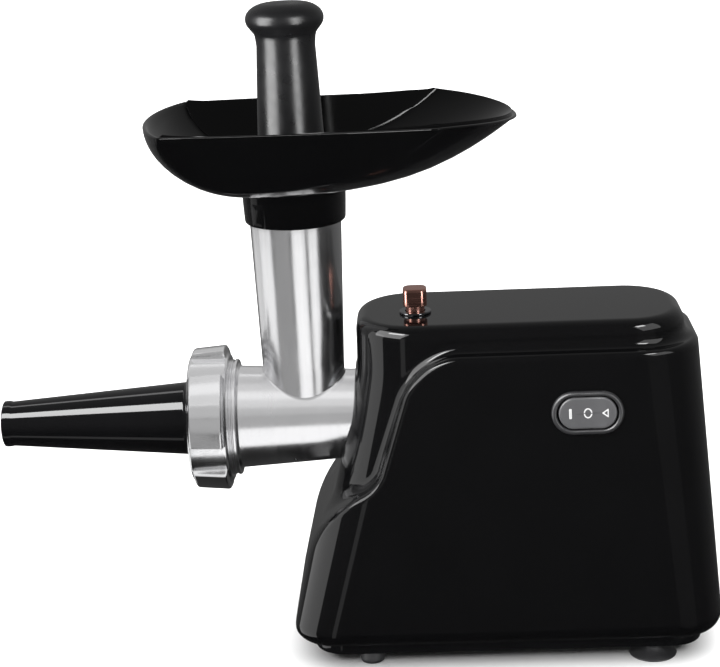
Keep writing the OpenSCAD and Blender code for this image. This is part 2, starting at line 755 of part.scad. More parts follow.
module gear_case_cover() color(zinc) on_axis() difference() {
    along_x(case_x1 - 4) linear_extrude(4) case_outline(0);
    rod_x(case_x1 - 5, case_x1 + 1, 10);
    at_idler() rod_x(case_x1 - 5, case_x1 - 1, 4);
    at_motor() rod_x(case_x1 - 5, case_x1 + 1, 5);
    for (a = case_screw_angles) along_x(case_x1 - 5) rotate(a) translate([44.2, 0]) cylinder(h = 6, r = 0.8);
}

module case_screws() color(steel) on_axis() for (a = case_screw_angles)
    along_x(case_x1) rotate(a) translate([44.2, 0]) {
        cylinder(h = 1.4, r = 1.8);
        translate([0, 0, -9]) cylinder(h = 9, r = 0.75);
    }

module output_wheel() color([0.9, 0.88, 0.8]) on_axis() difference() {
    along_x(87) gear(output_teeth, slow_module, 12, slow_angle);
    rod_x(86, 100, 10);
}

module output_shaft() color(steel) on_axis() difference() {
    union() {
        rod_x(70.2, 87, 12);
        rod_x(87, 99, 10);
        rod_x(99, 108, 7);
    }
    along_x(69) cylinder(h = 16, r = 7.7, $fn = 6);
}

module output_bushes() color([0.6, 0.5, 0.3]) on_axis() {
    sleeve_x(case_x0, case_x0 + 6, 15, 12 + run);
    sleeve_x(case_x1 - 4, case_x1, 10, 7 + run);
}

module idler_wheel() color([0.9, 0.88, 0.8]) on_axis() at_idler() difference() {
    along_x(79) gear(idler_teeth, fast_module, 6, fast_angle);
    rod_x(78, 86, 4.2);
}

module idler_pinion() color(steel) on_axis() at_idler() difference() {
    union() {
        along_x(86) gear(pinion_teeth, slow_module, 14, slow_angle + 180 + 180 / pinion_teeth);
        rod_x(79, 87, 4.2);
    }
    rod_x(78, 101, 3 + run);
}

module idler_pin() color(steel) on_axis() at_idler() {
    rod_x(case_x0 + 1, case_x1 - 1, 3);
    rod_x(case_x0 + 1, case_x0 + 4, 4);
    rod_x(case_x1 - 4, case_x1 - 1, 4);
}

module motor_pinion() color(steel) on_axis() at_motor() difference() {
    along_x(78) gear(motor_teeth, fast_module, 8.5, fast_angle + 180 + 180 / motor_teeth);
    rod_x(77, 87, 1.8);
}

// ---------- motor ----------

module motor_shaft() color(steel) on_axis() at_motor() {
    rod_x(78, 87, 1.8);
    rod_x(87, rear_bracket_x + 5, 3.5);
}

module armature_core() color(steel) on_axis() at_motor() along_x(stack_x0) linear_extrude(stack_x1 - stack_x0) difference() {
    circle(r = armature_r);
    circle(r = 3.5);
    for (i = [0 : 11]) rotate(i * 30) translate([armature_r - 7, -1]) square([8, 2]);
}

module armature_winding() color(copper) on_axis() at_motor() {
    for (x = [stack_x0 - 6, stack_x1]) along_x(x) rotate_extrude() translate([5, 0]) square([10.5, 6]);
}

module commutator() color(copper) on_axis() at_motor() along_x(commutator_x0)
    linear_extrude(commutator_x1 - commutator_x0) difference() {
        circle(r = 10);
        circle(r = 3.5);
        for (i = [0 : 23]) rotate(i * 15) translate([9, -0.2]) square([2, 0.4]);
    }

module cooling_fan() color(charcoal) on_axis() at_motor() {
    sleeve_x(fan_x, fan_x + 7, 6, 3.5);
    sleeve_x(fan_x, fan_x + 1.4, 26, 6);
    for (i = [0 : 10]) along_x(fan_x + 1.4) rotate(i * 360 / 11) translate([8, -0.7]) cube([17.5, 1.4, 5.6]);
}

module motor_bearings() color(steel) on_axis() at_motor() {
    sleeve_x(case_x1, case_x1 + 5, 8, 3.5 + run);
    sleeve_x(rear_bracket_x - 1, rear_bracket_x + 4, 8, 3.5 + run);
}

module stator_outline() intersection() {
    square([2 * stator_w, 2 * stator_h], center = true);
    circle(r = stator_w + 3);
}

module stator_core() color(steel) on_axis() at_motor() difference() {
    along_x(stack_x0) linear_extrude(stack_x1 - stack_x0) stator_outline();
    rod_x(stack_x0 - 1, stack_x1 + 1, armature_r + 0.8);
    for (s = [-1, 1]) translate([stack_x0 - 1, s * 26 - 5, -17]) cube([stack_x1 - stack_x0 + 2, 10, 34]);
    for (y = [-28, 28]) for (z = [-27, 27]) translate([0, y, z]) rod_x(stack_x0 - 1, stack_x1 + 1, 2.2);
}

module field_coils() color(copper) on_axis() at_motor() difference() {
    for (s = [-1, 1]) translate([stack_x0 - 6, s * 26 - 4.6, -16.6]) cube([stack_x1 - stack_x0 + 12, 9.2, 33.2]);
    for (s = [-1, 1]) translate([stack_x0 + 3, s * 26 - 5, -9]) cube([stack_x1 - stack_x0 - 6, 10, 18]);
}

module bracket(x, t, bearing_x) {
    difference() {
        union() {
            translate([x, -34, -32]) cube([t, 68, 64]);
            rod_x(min(x, bearing_x), max(x + t, bearing_x + 5), 11);
        }
        rod_x(x - 20, x + 20, 8);
        for (y = [-28, 28]) for (z = [-27, 27]) translate([0, y, z]) rod_x(x - 1, x + t + 1, 2.2);
        for (a = [45 : 90 : 315]) along_x(x - 1) rotate(a) translate([19, 0]) cylinder(h = t + 2, r = 5);
    }
}

module front_bracket() color(zinc) on_axis() at_motor() bracket(case_x1, 3, case_x1);

module rear_bracket() color(zinc) on_axis() at_motor() bracket(rear_bracket_x, 3, rear_bracket_x - 1);

module brush_holders() color([0.35, 0.25, 0.12]) on_axis() at_motor() for (s = [-1, 1]) difference() {
    translate([commutator_x0 + 1, s * 22 - 10, -5]) cube([rear_bracket_x - commutator_x0 - 1, 20, 10]);
    translate([commutator_x0 + 2.9, s * 20.5 - 10.5, -3.1]) cube([6.2, 21, 6.2]);
}

module carbon_brushes() color(charcoal) on_axis() at_motor() for (s = [-1, 1])
    translate([commutator_x0 + 3, s * 15.2 - 5, -3]) cube([6, 10, 6]);

module brush_springs() color(steel) on_axis() at_motor() for (s = [-1, 1])
    translate([commutator_x0 + 6, s * 20.4, 0]) rotate([-90 * s, 0, 0]) coil(4, 2, 0.3, 10.4, 10);

module motor_bolts() color(steel) on_axis() at_motor() for (y = [-28, 28]) for (z = [-27, 27]) translate([0, y, z]) {
    rod_x(case_x1 + 0.2, rear_bracket_x + 3, 2);
    along_x(rear_bracket_x + 3) cylinder(h = 3, r = 3.8, $fn = 6);
}

// Rubber blocks that carry the motor on the bottom cover
module motor_mounts() color(charcoal) on_axis() for (x = [stack_x0 + 6, stack_x1 - 6]) difference() {
    translate([x - 5, -24, cover_z + 2.6]) cube([10, 48, motor_z - stator_h - cover_z - 2.6]);
    for (y = [-12, 12]) translate([x - 6, y - 6, cover_z + 7]) cube([12, 12, 6]);
}

// ---------- assembly ----------

housing_shell();
bottom_cover();
cover_screws();
front_feet();
suction_feet();
cord_inlet_bush();
switch_bezel();
switch_rocker();
switch_body();
switch_terminals();
release_button();
button_collar();
lock_stem();
lock_yoke();
lock_spring();
head_socket();
socket_screws();
grinder_head();
head_bush();
auger_screw();
auger_drive_shaft();
auger_front_pin();
auger_washer();
separator_plate();
stuffing_tube();
ring_nut();
hopper_pan();
food_pusher();
gear_case();
gear_case_cover();
case_screws();
output_wheel();
output_shaft();
output_bushes();
idler_wheel();
idler_pinion();
idler_pin();
motor_pinion();
motor_shaft();
armature_core();
armature_winding();
commutator();
cooling_fan();
motor_bearings();
stator_core();
field_coils();
front_bracket();
rear_bracket();
brush_holders();
carbon_brushes();
brush_springs();
motor_bolts();
motor_mounts();
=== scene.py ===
import json
import math

import bpy
import numpy as np
from mathutils import Matrix, Vector


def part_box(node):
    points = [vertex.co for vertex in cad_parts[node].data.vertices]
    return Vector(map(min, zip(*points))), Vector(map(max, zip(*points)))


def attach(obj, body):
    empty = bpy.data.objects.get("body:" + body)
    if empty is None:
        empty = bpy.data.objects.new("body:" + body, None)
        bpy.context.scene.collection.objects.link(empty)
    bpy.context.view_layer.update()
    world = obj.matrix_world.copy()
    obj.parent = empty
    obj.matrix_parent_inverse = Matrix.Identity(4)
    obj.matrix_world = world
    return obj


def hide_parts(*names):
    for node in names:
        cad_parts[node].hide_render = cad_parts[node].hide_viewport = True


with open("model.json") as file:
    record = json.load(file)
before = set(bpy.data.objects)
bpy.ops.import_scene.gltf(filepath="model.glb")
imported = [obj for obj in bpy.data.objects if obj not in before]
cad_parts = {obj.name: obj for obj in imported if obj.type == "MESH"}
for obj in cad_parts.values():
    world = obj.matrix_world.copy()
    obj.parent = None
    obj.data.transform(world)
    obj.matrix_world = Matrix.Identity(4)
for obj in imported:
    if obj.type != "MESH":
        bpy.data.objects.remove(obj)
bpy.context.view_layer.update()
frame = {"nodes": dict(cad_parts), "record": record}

# ---------------- frame of the drawing
# Pieces are drawn in millimetres about the crossing of the barrel axis and the neck axis,
# the same axes that the CAD is drawn about, and are then moved into the row frame.

MM = 0.001


def middle(node):
    low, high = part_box(node)
    return (low + high) / 2


ORIGIN = Vector((middle("food_pusher").x, 0.0, middle("ring_nut").z))
BUTTON = (middle("release_button") - ORIGIN) / MM
FLOOR_Z = min(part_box("front_feet")[0].z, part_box("suction_feet")[0].z)


def to_row(points):
    """From the drawing's millimetres to the row frame's metres."""
    return np.asarray(points, float) * MM + np.array(ORIGIN)


def place(name, data):
    """A new object in the scene."""
    placed = bpy.data.objects.new(name, data)
    bpy.context.scene.collection.objects.link(placed)
    return placed


# ---------------- camera

CAMERA_AT = (77.5, -991.9, 338.9)
CAMERA_YAW = 0.0453
CAMERA_PITCH = 0.2863
CAMERA_ROLL = 0.0466
CAMERA_LENS = 92.5


def make_camera():
    camera = place("camera", bpy.data.cameras.new("camera"))
    camera.data.sensor_width = 36
    camera.data.lens = CAMERA_LENS
    turn = Matrix.Rotation(CAMERA_YAW, 3, "Z") @ Matrix.Rotation(-CAMERA_PITCH, 3, "X")
    right, forward, up = turn.col
    cos, sin = math.cos(CAMERA_ROLL), math.sin(CAMERA_ROLL)
    axes = Matrix((right * cos - up * sin, right * sin + up * cos, -forward)).transposed()
    camera.matrix_world = Matrix.Translation(to_row(CAMERA_AT)) @ axes.to_4x4()
    bpy.context.scene.camera = camera


make_camera()

# ---------------- mesh building


def new_mesh(name, points, faces):
    mesh = bpy.data.meshes.new(name)
    mesh.from_pydata(to_row(points).tolist(), [], faces)
    mesh.update()
    return mesh


def add_piece(name, mesh, material, body, nodes, crease=35, even=True):
    """Puts a finished mesh in the scene as a piece that rides on a body and stands for CAD nodes."""
    piece = place(name, mesh)
    mesh.shade_smooth()
    mesh.set_sharp_from_angle(angle=math.radians(crease))
    mesh.materials.clear()
    mesh.materials.append(material)
    if even:
        normals = piece.modifiers.new("even_normals", "WEIGHTED_NORMAL")
        normals.keep_sharp = True
    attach(piece, body)
    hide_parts(*nodes)
    return piece


def skin(rings, closed=False):
    """Points and faces of a skin over equal rings. An open skin is capped, a closed one joins up again."""
    rings = np.asarray(rings, float)
    rows, count = rings.shape[:2]
    faces = []
    for j in range(rows if closed else rows - 1):
        a, b = j * count, (j + 1) % rows * count
        faces += [(a + i, a + (i + 1) % count, b + (i + 1) % count, b + i) for i in range(count)]
    if not closed:
        faces.append(tuple(range(count))[::-1])
        faces.append(tuple(range((rows - 1) * count, rows * count)))
    return rings.reshape(-1, 3), faces


def join(*parts):
    """Several (points, faces) as one."""
    points, faces, start = [], [], 0
    for part_points, part_faces in parts:
        points.append(part_points)
        faces += [tuple(i + start for i in face) for face in part_faces]
        start += len(part_points)
    return np.vstack(points), faces


def angles(count):
    return (np.arange(count) + 0.5) * 2 * np.pi / count


def ring_x(x, radius, count):
    """A ring about the barrel axis. The radius is one number or one for each angle."""
    a = angles(count)
    radius = np.broadcast_to(radius, count)
    return np.stack([np.full(count, x), radius * np.cos(a), radius * np.sin(a)], 1)


def ring_z(z, radius, count, x=0.0, y=0.0):
    a = angles(count)
    radius = np.broadcast_to(radius, count)
    return np.stack([x + radius * np.cos(a), y + radius * np.sin(a), np.full(count, z)], 1)


def rounded_rectangle(half_x, half_y, radius, count=64):
    """A flat ring with rounded corners, in XY."""
    a = angles(count)
    x = (half_x - radius) * np.sign(np.cos(a)) + radius * np.cos(a)
    y = (half_y - radius) * np.sign(np.sin(a)) + radius * np.sin(a)
    return np.stack([x, y, np.zeros(count)], 1)


def soften(profile, radius, closed=False, steps=4):
    """The corners of a flat profile turned into arcs. A third value in a point is its own radius."""
    corners = [(np.array(p[:2], float), p[2] if len(p) > 2 else radius) for p in profile]
    out = []
    for i, (p, own) in enumerate(corners):
        if own <= 0 or (not closed and i in (0, len(corners) - 1)):
            out.append(p)
            continue
        u, v = corners[i - 1][0] - p, corners[(i + 1) % len(corners)][0] - p
        long_u, long_v = np.linalg.norm(u), np.linalg.norm(v)
        half = math.acos(np.clip(u @ v / (long_u * long_v), -1, 1)) / 2
        reach = min(own / math.tan(half), 0.45 * long_u, 0.45 * long_v)
        start, end = p + u / long_u * reach, p + v / long_v * reach
        for t in np.linspace(0, 1, steps + 1):
            out.append((1 - t) ** 2 * start + 2 * t * (1 - t) * p + t * t * end)
    return out


def through(points, steps=6):
    """A smooth line through points, as a Catmull-Rom curve."""
    p = np.array([points[0], *points, points[-1]], float)
    out = []
    for a, b, c, d in zip(p, p[1:], p[2:], p[3:]):
        for t in np.arange(steps) / steps:
            out.append(0.5 * (2 * b + (c - a) * t + (2 * a - 5 * b + 4 * c - d) * t * t
                              + (3 * b - a - 3 * c + d) * t ** 3))
    return [*out, p[-1]]


def lathe_x(profile, count=128, closed=True):
    """Turns (x, radius) about the barrel axis."""
    return skin([ring_x(x, r, count) for x, r in profile], closed)


def lathe_z(profile, count=96, closed=True, x=0.0, y=0.0):
    """Turns (radius, z) about an upright axis."""
    return skin([ring_z(z, r, count, x, y) for r, z in profile], closed)


def rod_x(x0, x1, radius):
    return lathe_x([(x0, radius), (x1, radius)], 96, closed=False)


def rod_z(z0, z1, radius, x=0.0, y=0.0, count=96):
    return lathe_z([(radius, z0), (radius, z1)], count, False, x, y)


def with_holes(mesh, solids, cut):
    """The mesh with closed solids joined to it, then others cut away, each given as (points, faces)."""
    piece = place("work", mesh)
    tools = []
    for operation, shapes in (("UNION", solids), ("DIFFERENCE", cut)):
        for shape in shapes:
            tool = place("tool", new_mesh("tool", *shape))
            step = piece.modifiers.new("step", "BOOLEAN")
            step.operation = operation
            step.solver = "MANIFOLD"
            step.object = tool
            tools.append(tool)
    shaped = piece.evaluated_get(bpy.context.evaluated_depsgraph_get())
    result = bpy.data.meshes.new_from_object(shaped)
    for used in (piece, *tools):
        data = used.data
        bpy.data.objects.remove(used)
        bpy.data.meshes.remove(data)
    return result


# ---------------- surfaces from a distance field


def round_max(a, b, radius):
    """Where two shapes overlap, with a rounded edge."""
    return (np.minimum(np.maximum(a, b), -radius)
            + np.hypot(np.maximum(a + radius, 0), np.maximum(b + radius, 0)))


def round_min(a, b, radius):
    """Two shapes joined, with a fillet between them."""
    return (np.maximum(np.minimum(a, b), radius)
            - np.hypot(np.maximum(radius - a, 0), np.maximum(radius - b, 0)))


def slope_of(field, points, step=0.05):
    """Which way the field rises at each point, and how steeply."""
    slope = np.empty_like(points)
    for k in range(3):
        aside = np.zeros(3)
        aside[k] = step
        slope[:, k] = (field(*(points + aside).T) - field(*(points - aside).T)) / (2 * step)
    return slope


CORNERS = [(i, j, k) for i in (0, 1) for j in (0, 1) for k in (0, 1)]
EDGES = [(a, b) for a in range(8) for b in range(a + 1, 8)
         if sum(p != q for p, q in zip(CORNERS[a], CORNERS[b])) == 1]


def surface_of(field, low, high, cell):
    """A closed skin of quads where field(x, y, z) is zero: one point in each cell that the surface
    crosses, drawn onto the surface, and one quad about each edge of the grid that it crosses."""
    low, high = np.array(low, float), np.array(high, float)
    axes = [np.arange(low[k], high[k] + cell, cell) for k in range(3)]
    values = field(axes[0][:, None, None], axes[1][None, :, None], axes[2][None, None, :])
    size = [n - 1 for n in values.shape]

    def corner(array, c):
        return array[tuple(slice(c[k], c[k] + size[k]) for k in range(3))]

    inside = values < 0
    filled = sum(corner(inside, c).astype(np.int8) for c in CORNERS)
    cells = np.argwhere((filled > 0) & (filled < 8))
    at = [values[tuple((cells + c).T)] for c in CORNERS]
    total, hits = np.zeros((len(cells), 3)), np.zeros(len(cells))
    for a, b in EDGES:
        crossed = (at[a] < 0) != (at[b] < 0)
        share = at[a][crossed] / (at[a][crossed] - at[b][crossed])
        start, end = np.array(CORNERS[a]), np.array(CORNERS[b])
        total[crossed] += start + (end - start) * share[:, None]
        hits[crossed] += 1
    points = low + cell * (cells + total / hits[:, None])
    for _ in range(4):
        slope = slope_of(field, points)
        points -= slope * (field(*points.T) / (slope ** 2).sum(1))[:, None]

    number = np.full(size, -1)
    number[tuple(cells.T)] = np.arange(len(cells))
    faces = []
    for k in range(3):
        u, v = (k + 1) % 3, (k + 2) % 3
        first = np.take(inside, range(size[k]), k)
        last = np.take(inside, range(1, size[k] + 1), k)
        crossings = np.argwhere(first != last)
        here = crossings[:, [u, v]]
        crossings = crossings[((here > 0) & (here < (size[u], size[v]))).all(1)]
        around = []
        for du, dv in ((1, 1), (0, 1), (0, 0), (1, 0)):
            near = crossings.copy()
            near[:, u] -= du
            near[:, v] -= dv
            around.append(number[tuple(near.T)])
        quads = np.stack(around, 1)
        outward = first[tuple(crossings.T)]
        quads[~outward] = quads[~outward][:, ::-1]
        faces += [tuple(quad) for quad in quads.tolist()]
    return points, faces


# ---------------- housing
# The same outlines as the CAD housing, with rounded edges and fillets. Heights are above the
# barrel axis, W is half a width, R is a radius, a rake is how far a wall leans for its height, and a
# step is how far the tower stands in from the shell.

WALL = 2.6
TOP_Z = 60
SHELF_Z = 46
BELLY_Z = -103
SKIRT_Z = -115
REAR_X = 228
REAR_RAKE = 0.069
BASE_W = 68
TOP_W = 42
STEP = 9
SIDE_RAKE = (BASE_W - TOP_W - STEP) / (SHELF_Z - BELLY_Z)

SHELL_FRONT = -9
SHELL_RAKE = 0.236
SHELL_CORNER = 27
SHELF_CORNER = 34
SKIRT_ROUND = 10
SHELL_ROUND = 3

# The curve that ends the wide shell in front: a rounded shelf, a steep fall, a fillet, a run-out and a toe.
FALL = math.radians(72)
FALL_AT = (55.7, 22.5)
SHELF_ROUND = 23.5
RUN_OUT = math.radians(20)
RUN_OUT_AT = (31.9, -28.4)
RUN_OUT_FILLET = 6.9
TOE_ROUND = 28

TOWER_FRONT = 31
TOWER_RAKE = 0.23
TOWER_CORNER = 31
TOWER_BEND_Z = 30
TOWER_FOOT_Z = -50
REAR_STEP = 6
TOP_ROUND = 7
TOWER_FILLET = 5

LIP_X = 36
LIP_W = 6.4
LIP_R = 30.5
SOCKET_X = 38
SOCKET_R = 26.9
CORD_HOLE_Z = -88
CORD_HOLE_R = 6.2

SIDE_TILT = math.atan(SIDE_RAKE)
SWITCH_X = 154.5
SWITCH_Z = 14.5
SWITCH_HOLE_W = 17
SWITCH_HOLE_R = 9.5
BUTTON_HOLE_R = 7.5


def rounded_box(x, y, x0, x1, half_y, radius):
    """Distance to an upright box with rounded corners, in plan."""
    qx = np.abs(x - (x0 + x1) / 2) - (x1 - x0) / 2 + radius
    qy = np.abs(y) - half_y + radius
    return np.hypot(np.maximum(qx, 0), np.maximum(qy, 0)) + np.minimum(np.maximum(qx, qy), 0) - radius


def above_line(x, z, point, angle):
    """Distance above a sloping line through a point in the side view."""
    return (z - point[1]) * math.cos(angle) - (x - point[0]) * math.sin(angle)


def front_curve(x, z):
    """Distance above the shelf, the fall and the run-out that end the wide shell in front."""
    shelf = round_max(z - SHELF_Z, above_line(x, z, FALL_AT, FALL), SHELF_ROUND)
    return round_min(shelf, above_line(x, z, RUN_OUT_AT, RUN_OUT), RUN_OUT_FILLET)


def wide_shell(x, y, z):
    rise = z - BELLY_Z
    front = SHELL_FRONT + SHELL_RAKE * rise
    corner = SHELL_CORNER + (SHELF_CORNER - SHELL_CORNER) * rise / (SHELF_Z - BELLY_Z)
    walls = rounded_box(x, y, front, REAR_X - REAR_RAKE * rise, BASE_W - SIDE_RAKE * rise, corner)
    curve = round_max(front_curve(x, z), front - x, TOE_ROUND)
    return round_max(round_max(walls, SKIRT_Z - z, SKIRT_ROUND), curve, SHELL_ROUND)


def tower(x, y, z, bend=4):
    """The narrow upper body, whose front runs out forwards below the bend."""
    rise = z - BELLY_Z
    below_bend = np.logaddexp(0, (TOWER_BEND_Z - z) / bend) * bend
    walls = rounded_box(x, y, TOWER_FRONT - TOWER_RAKE * below_bend, REAR_X - REAR_RAKE * rise - REAR_STEP,
                        BASE_W - SIDE_RAKE * rise - STEP, TOWER_CORNER)
    return np.maximum(round_max(walls, z - TOP_Z, TOP_ROUND), TOWER_FOOT_Z - z)


def barrel_lip(x, y, z):
    """A low collar where the barrel leaves the housing."""
    return round_max(np.hypot(y, z) - LIP_R, np.abs(x - LIP_X) - LIP_W, 1.2)


def housing_outside(x, y, z):
    body = round_min(wide_shell(x, y, z), tower(x, y, z), TOWER_FILLET)
    return round_min(body, barrel_lip(x, y, z), 1.5)


def housing_inside(x, y, z, ledge=11):
    """The hollow, with the opening in the underside that the bottom cover closes."""
    plan = rounded_box(x, y, SHELL_FRONT + ledge, REAR_X - ledge, BASE_W - ledge, SHELL_CORNER - ledge)
    opening = np.maximum(plan, np.abs(z - SKIRT_Z) - 8)
    return np.minimum(round_min(wide_shell(x, y, z), tower(x, y, z), 1) + WALL, opening)


def on_side(points):
    """From a flat drawing to the side wall at the switch: the third axis points out of the wall."""
    turn = np.array(Matrix.Rotation(math.pi / 2 - SIDE_TILT, 3, "X"))
    out_of_wall = BASE_W - SIDE_RAKE * (SWITCH_Z - BELLY_Z)
    return np.asarray(points) @ turn.T + (SWITCH_X, -out_of_wall, SWITCH_Z)


def shade_by_field(mesh, field, near=0.05, same_way=0.7):
    """Shades every corner that lies on the field's surface by the field's own slope, which is smoother
    than the faces. Corners on other surfaces keep their own shading."""
    points = np.empty(len(mesh.vertices) * 3)
    mesh.vertices.foreach_get("co", points)
    points = (points.reshape(-1, 3) - np.array(ORIGIN)) / MM
    slope = slope_of(field, points)
    slope /= np.linalg.norm(slope, axis=1)[:, None]
    on_surface = np.abs(field(*points.T)) < near
    corner = np.empty(len(mesh.loops), int)
    mesh.loops.foreach_get("vertex_index", corner)
    face = np.empty(len(mesh.polygons) * 3)
    mesh.polygons.foreach_get("normal", face)
    sides = np.empty(len(mesh.polygons), int)
    mesh.polygons.foreach_get("loop_total", sides)
    face = np.repeat(face.reshape(-1, 3), sides, axis=0)
    normals = slope[corner]
    turned_away = (normals * face).sum(1) < same_way
    normals[~on_surface[corner] | turned_away] = 0
    mesh.normals_split_custom_set(normals.tolist())


def build_housing(material):
    cell = 1.25
    inner_cell = 4.0
    low, high = (SHELL_FRONT - 5, -BASE_W - 4, SKIRT_Z - 4), (REAR_X + 5, BASE_W + 4, TOP_Z + 4)
    outside = surface_of(housing_outside, low, high, cell)
    inside = surface_of(housing_inside, (low[0], low[1], SKIRT_Z - 11), high, inner_cell)
    switch_outline = rounded_rectangle(SWITCH_HOLE_W, SWITCH_HOLE_R, SWITCH_HOLE_R)
    switch_hole = skin([on_side(switch_outline + (0, 0, w)) for w in (-12, 12)])
    button_hole = rod_z(TOP_Z - 12, TOP_Z + 8, BUTTON_HOLE_R, BUTTON.x, BUTTON.y, 64)
    cord_points, cord_faces = rod_x(REAR_X - 20, REAR_X + 20, CORD_HOLE_R)
    cord_hole = (cord_points + (0, 0, CORD_HOLE_Z), cord_faces)
    holes = [inside, rod_x(0, SOCKET_X, SOCKET_R), switch_hole, button_hole, cord_hole]
    mesh = with_holes(new_mesh("housing", *outside), [], holes)
    piece = add_piece("housing", mesh, material, "base", ["housing_shell"], even=False)
    shade_by_field(mesh, housing_outside)
    return piece


# ---------------- grinding head

BARREL_FRONT = -59
BARREL_BACK = 68
BARREL_FRONT_R = 28.9
BARREL_R = 25.0
BARREL_BORE = 22.3
THREAD_R = 32.6
THREAD_ROOT = 31.6
THREAD_TURNS = 6
THREAD_PITCH = 3
NECK_FOOT_R = 22.95
NECK_R = 25.2
NECK_TOP = 126
NECK_FLAT = 0.93
FEED_BORE = 20.0


def barrel_radius(x):
    return np.interp(x, (-37.4, 26, BARREL_BACK), (BARREL_FRONT_R, BARREL_R + 0.1, BARREL_R))


def neck_radius(z):
    return np.interp(z, (32, 112, NECK_TOP), (NECK_FOOT_R, NECK_R, NECK_R))


def neck_ring(z, radius, count):
    """The casting is a little narrower across the machine at its foot."""
    return ring_z(z, radius, count) * (1, np.interp(z, (34, 90), (NECK_FLAT, 1)), 1)


def neck_skin(fillet=0.9, count=160):
    """The neck as a solid whose foot starts inside the barrel's wall and flares onto the barrel."""
    a = angles(count)
    steps = [(fillet, -4.0), (fillet, -0.05)]
    for t in (20, 40, 60, 80, 100):
        arc = math.radians(t)
        steps.append((fillet * (1 - math.sin(min(arc, math.pi / 2))), fillet * (1 - math.cos(arc))))
    rings = []
    for flare, lift in steps:
        r = NECK_FOOT_R + flare
        x, y = r * np.cos(a), NECK_FLAT * r * np.sin(a)
        top = np.sqrt(np.maximum(barrel_radius(x) ** 2 - y ** 2, 0))
        rings.append(np.stack([x, y, top + lift], 1))
    for z in (30, 34, 60, 86, 110, 114, NECK_TOP - 0.6):
        rings.append(neck_ring(z, neck_radius(z), count))
    rings.append(neck_ring(NECK_TOP, neck_radius(NECK_TOP) - 0.6, count))
    return skin(rings)


def thread_turns():
    """The (x, radius) line of the turns that the ring nut grips."""
    turns = []
    for i in range(THREAD_TURNS):
        x = BARREL_FRONT + THREAD_PITCH * i
        turns += [(x, THREAD_ROOT), (x + 1.5, THREAD_ROOT), (x + 1.9, THREAD_R), (x + 2.6, THREAD_R)]
    return turns


def barrel_profile():
    """The (x, radius) line of the barrel: turns, a bead, a flange, the taper and the chamfered back."""
    bead = [(-40.9, THREAD_ROOT), (-40.5, 32.5), (-39.9, 32.5), (-39.6, THREAD_ROOT), (-38.8, THREAD_ROOT)]
    flange = [(-38.8, 32.9), (-37.4, 32.6), (-37.2, 30.4), (-36, BARREL_FRONT_R)]
    taper = [(26, BARREL_R + 0.1), (BARREL_BACK - 0.8, BARREL_R)]
    back = [(BARREL_BACK, BARREL_R - 0.8), (BARREL_BACK, 12)]
    return [(BARREL_FRONT, 20), *thread_turns(), *bead, *flange, *taper, *back]


def build_head(material):
    barrel = lathe_x(soften(barrel_profile(), 0.4, steps=3), 160, closed=False)
    lock_groove = lathe_x([(61, 21), (66, 21), (66, 27), (61, 27)], 96)
    plate_seat = rod_x(BARREL_FRONT - 1, -53.6, 27)
    bush_seat = rod_x(50, BARREL_BACK + 2, 10.5)
    holes = [rod_x(BARREL_FRONT - 1, 54, BARREL_BORE), plate_seat, rod_z(0, NECK_TOP + 5, FEED_BORE),
             bush_seat, lock_groove]
    mesh = with_holes(new_mesh("grinder_head", *barrel), [neck_skin()], holes)
    return add_piece("grinder_head", mesh, material, "head", ["grinder_head"], crease=32)


# ---------------- ring nut

RING_FRONT = -64
RING_BACK = -41.8
RING_BODY_R = 36.4
RING_BORE = 32.9
RING_LIP_BORE = 22.5
RING_LUGS = 4
LUG_SPAN = 62
LUG_TURN = 66.5
LUG_X = (-62.8, -43.4)
LUG_RISE = (3.1, 4.7)


def lug_ramp(a, edge=1.3):
    """1 on a gripping lug and 0 between lugs, with short sloping flanks."""
    pitch = 360 / RING_LUGS
    aside = np.abs((np.degrees(a) - LUG_TURN + pitch / 2) % pitch - pitch / 2)
    t = np.clip((LUG_SPAN / 2 - aside) / edge + 0.5, 0, 1)
    return t * t * (3 - 2 * t)


def ring_angles():
    """Angles about the ring, close together on the flanks of the lugs."""
    pitch = 360 / RING_LUGS
    flank = LUG_SPAN / 2 + np.array([-1.2, -0.8, -0.4, 0, 0.4, 0.8, 1.2])
    one = np.concatenate([np.linspace(-LUG_SPAN / 2 + 3, LUG_SPAN / 2 - 3, 15), flank,
                          np.linspace(LUG_SPAN / 2 + 3, pitch - LUG_SPAN / 2 - 3, 7), pitch - flank[::-1]])
    return np.radians(np.concatenate([LUG_TURN + one + pitch * i for i in range(RING_LUGS)]))


def build_ring(material):
    """The ring as stations of x, radius and share of the lugs' full rise."""
    a = ring_angles()
    lug = lug_ramp(a)
    front = [(RING_FRONT, 34.2, 0), (RING_FRONT, 35.2, 0), (-63.5, 36.1, 0)]
    grips = [(x, RING_BODY_R, share) for x, share in (
        (-62.8, 0.2), (-62.4, 0.7), (-61.9, 0.93), (-61, 1), (-54, 1), (-45.2, 1), (-44.4, 0.95),
        (-43.8, 0.75), (-43.5, 0.2))]
    back = [(-43.1, 36.3, 0), (-42.6, 35.9, 0), (-42, 35.3, 0), (RING_BACK, 34.6, 0)]
    inner = [(RING_BACK, RING_BORE, 0), (-61, RING_BORE, 0), (-61, RING_LIP_BORE, 0),
             (RING_FRONT, RING_LIP_BORE, 0)]
    rings = []
    for x, r, share in front + grips + back + inner:
        radius = r + np.interp(x, LUG_X, LUG_RISE) * share * lug
        rings.append(np.stack([np.full(len(a), x), radius * np.cos(a), radius * np.sin(a)], 1))
    mesh = new_mesh("ring_nut", *skin(rings, closed=True))
    return add_piece("ring_nut", mesh, material, "ring", ["ring_nut"], crease=50)


# ---------------- stuffing tube

TUBE_TIP = -172.3
TUBE_TIP_R = 13.1
TUBE_FLANGE_R = 26.7
TUBE_NECK_R = 22.2


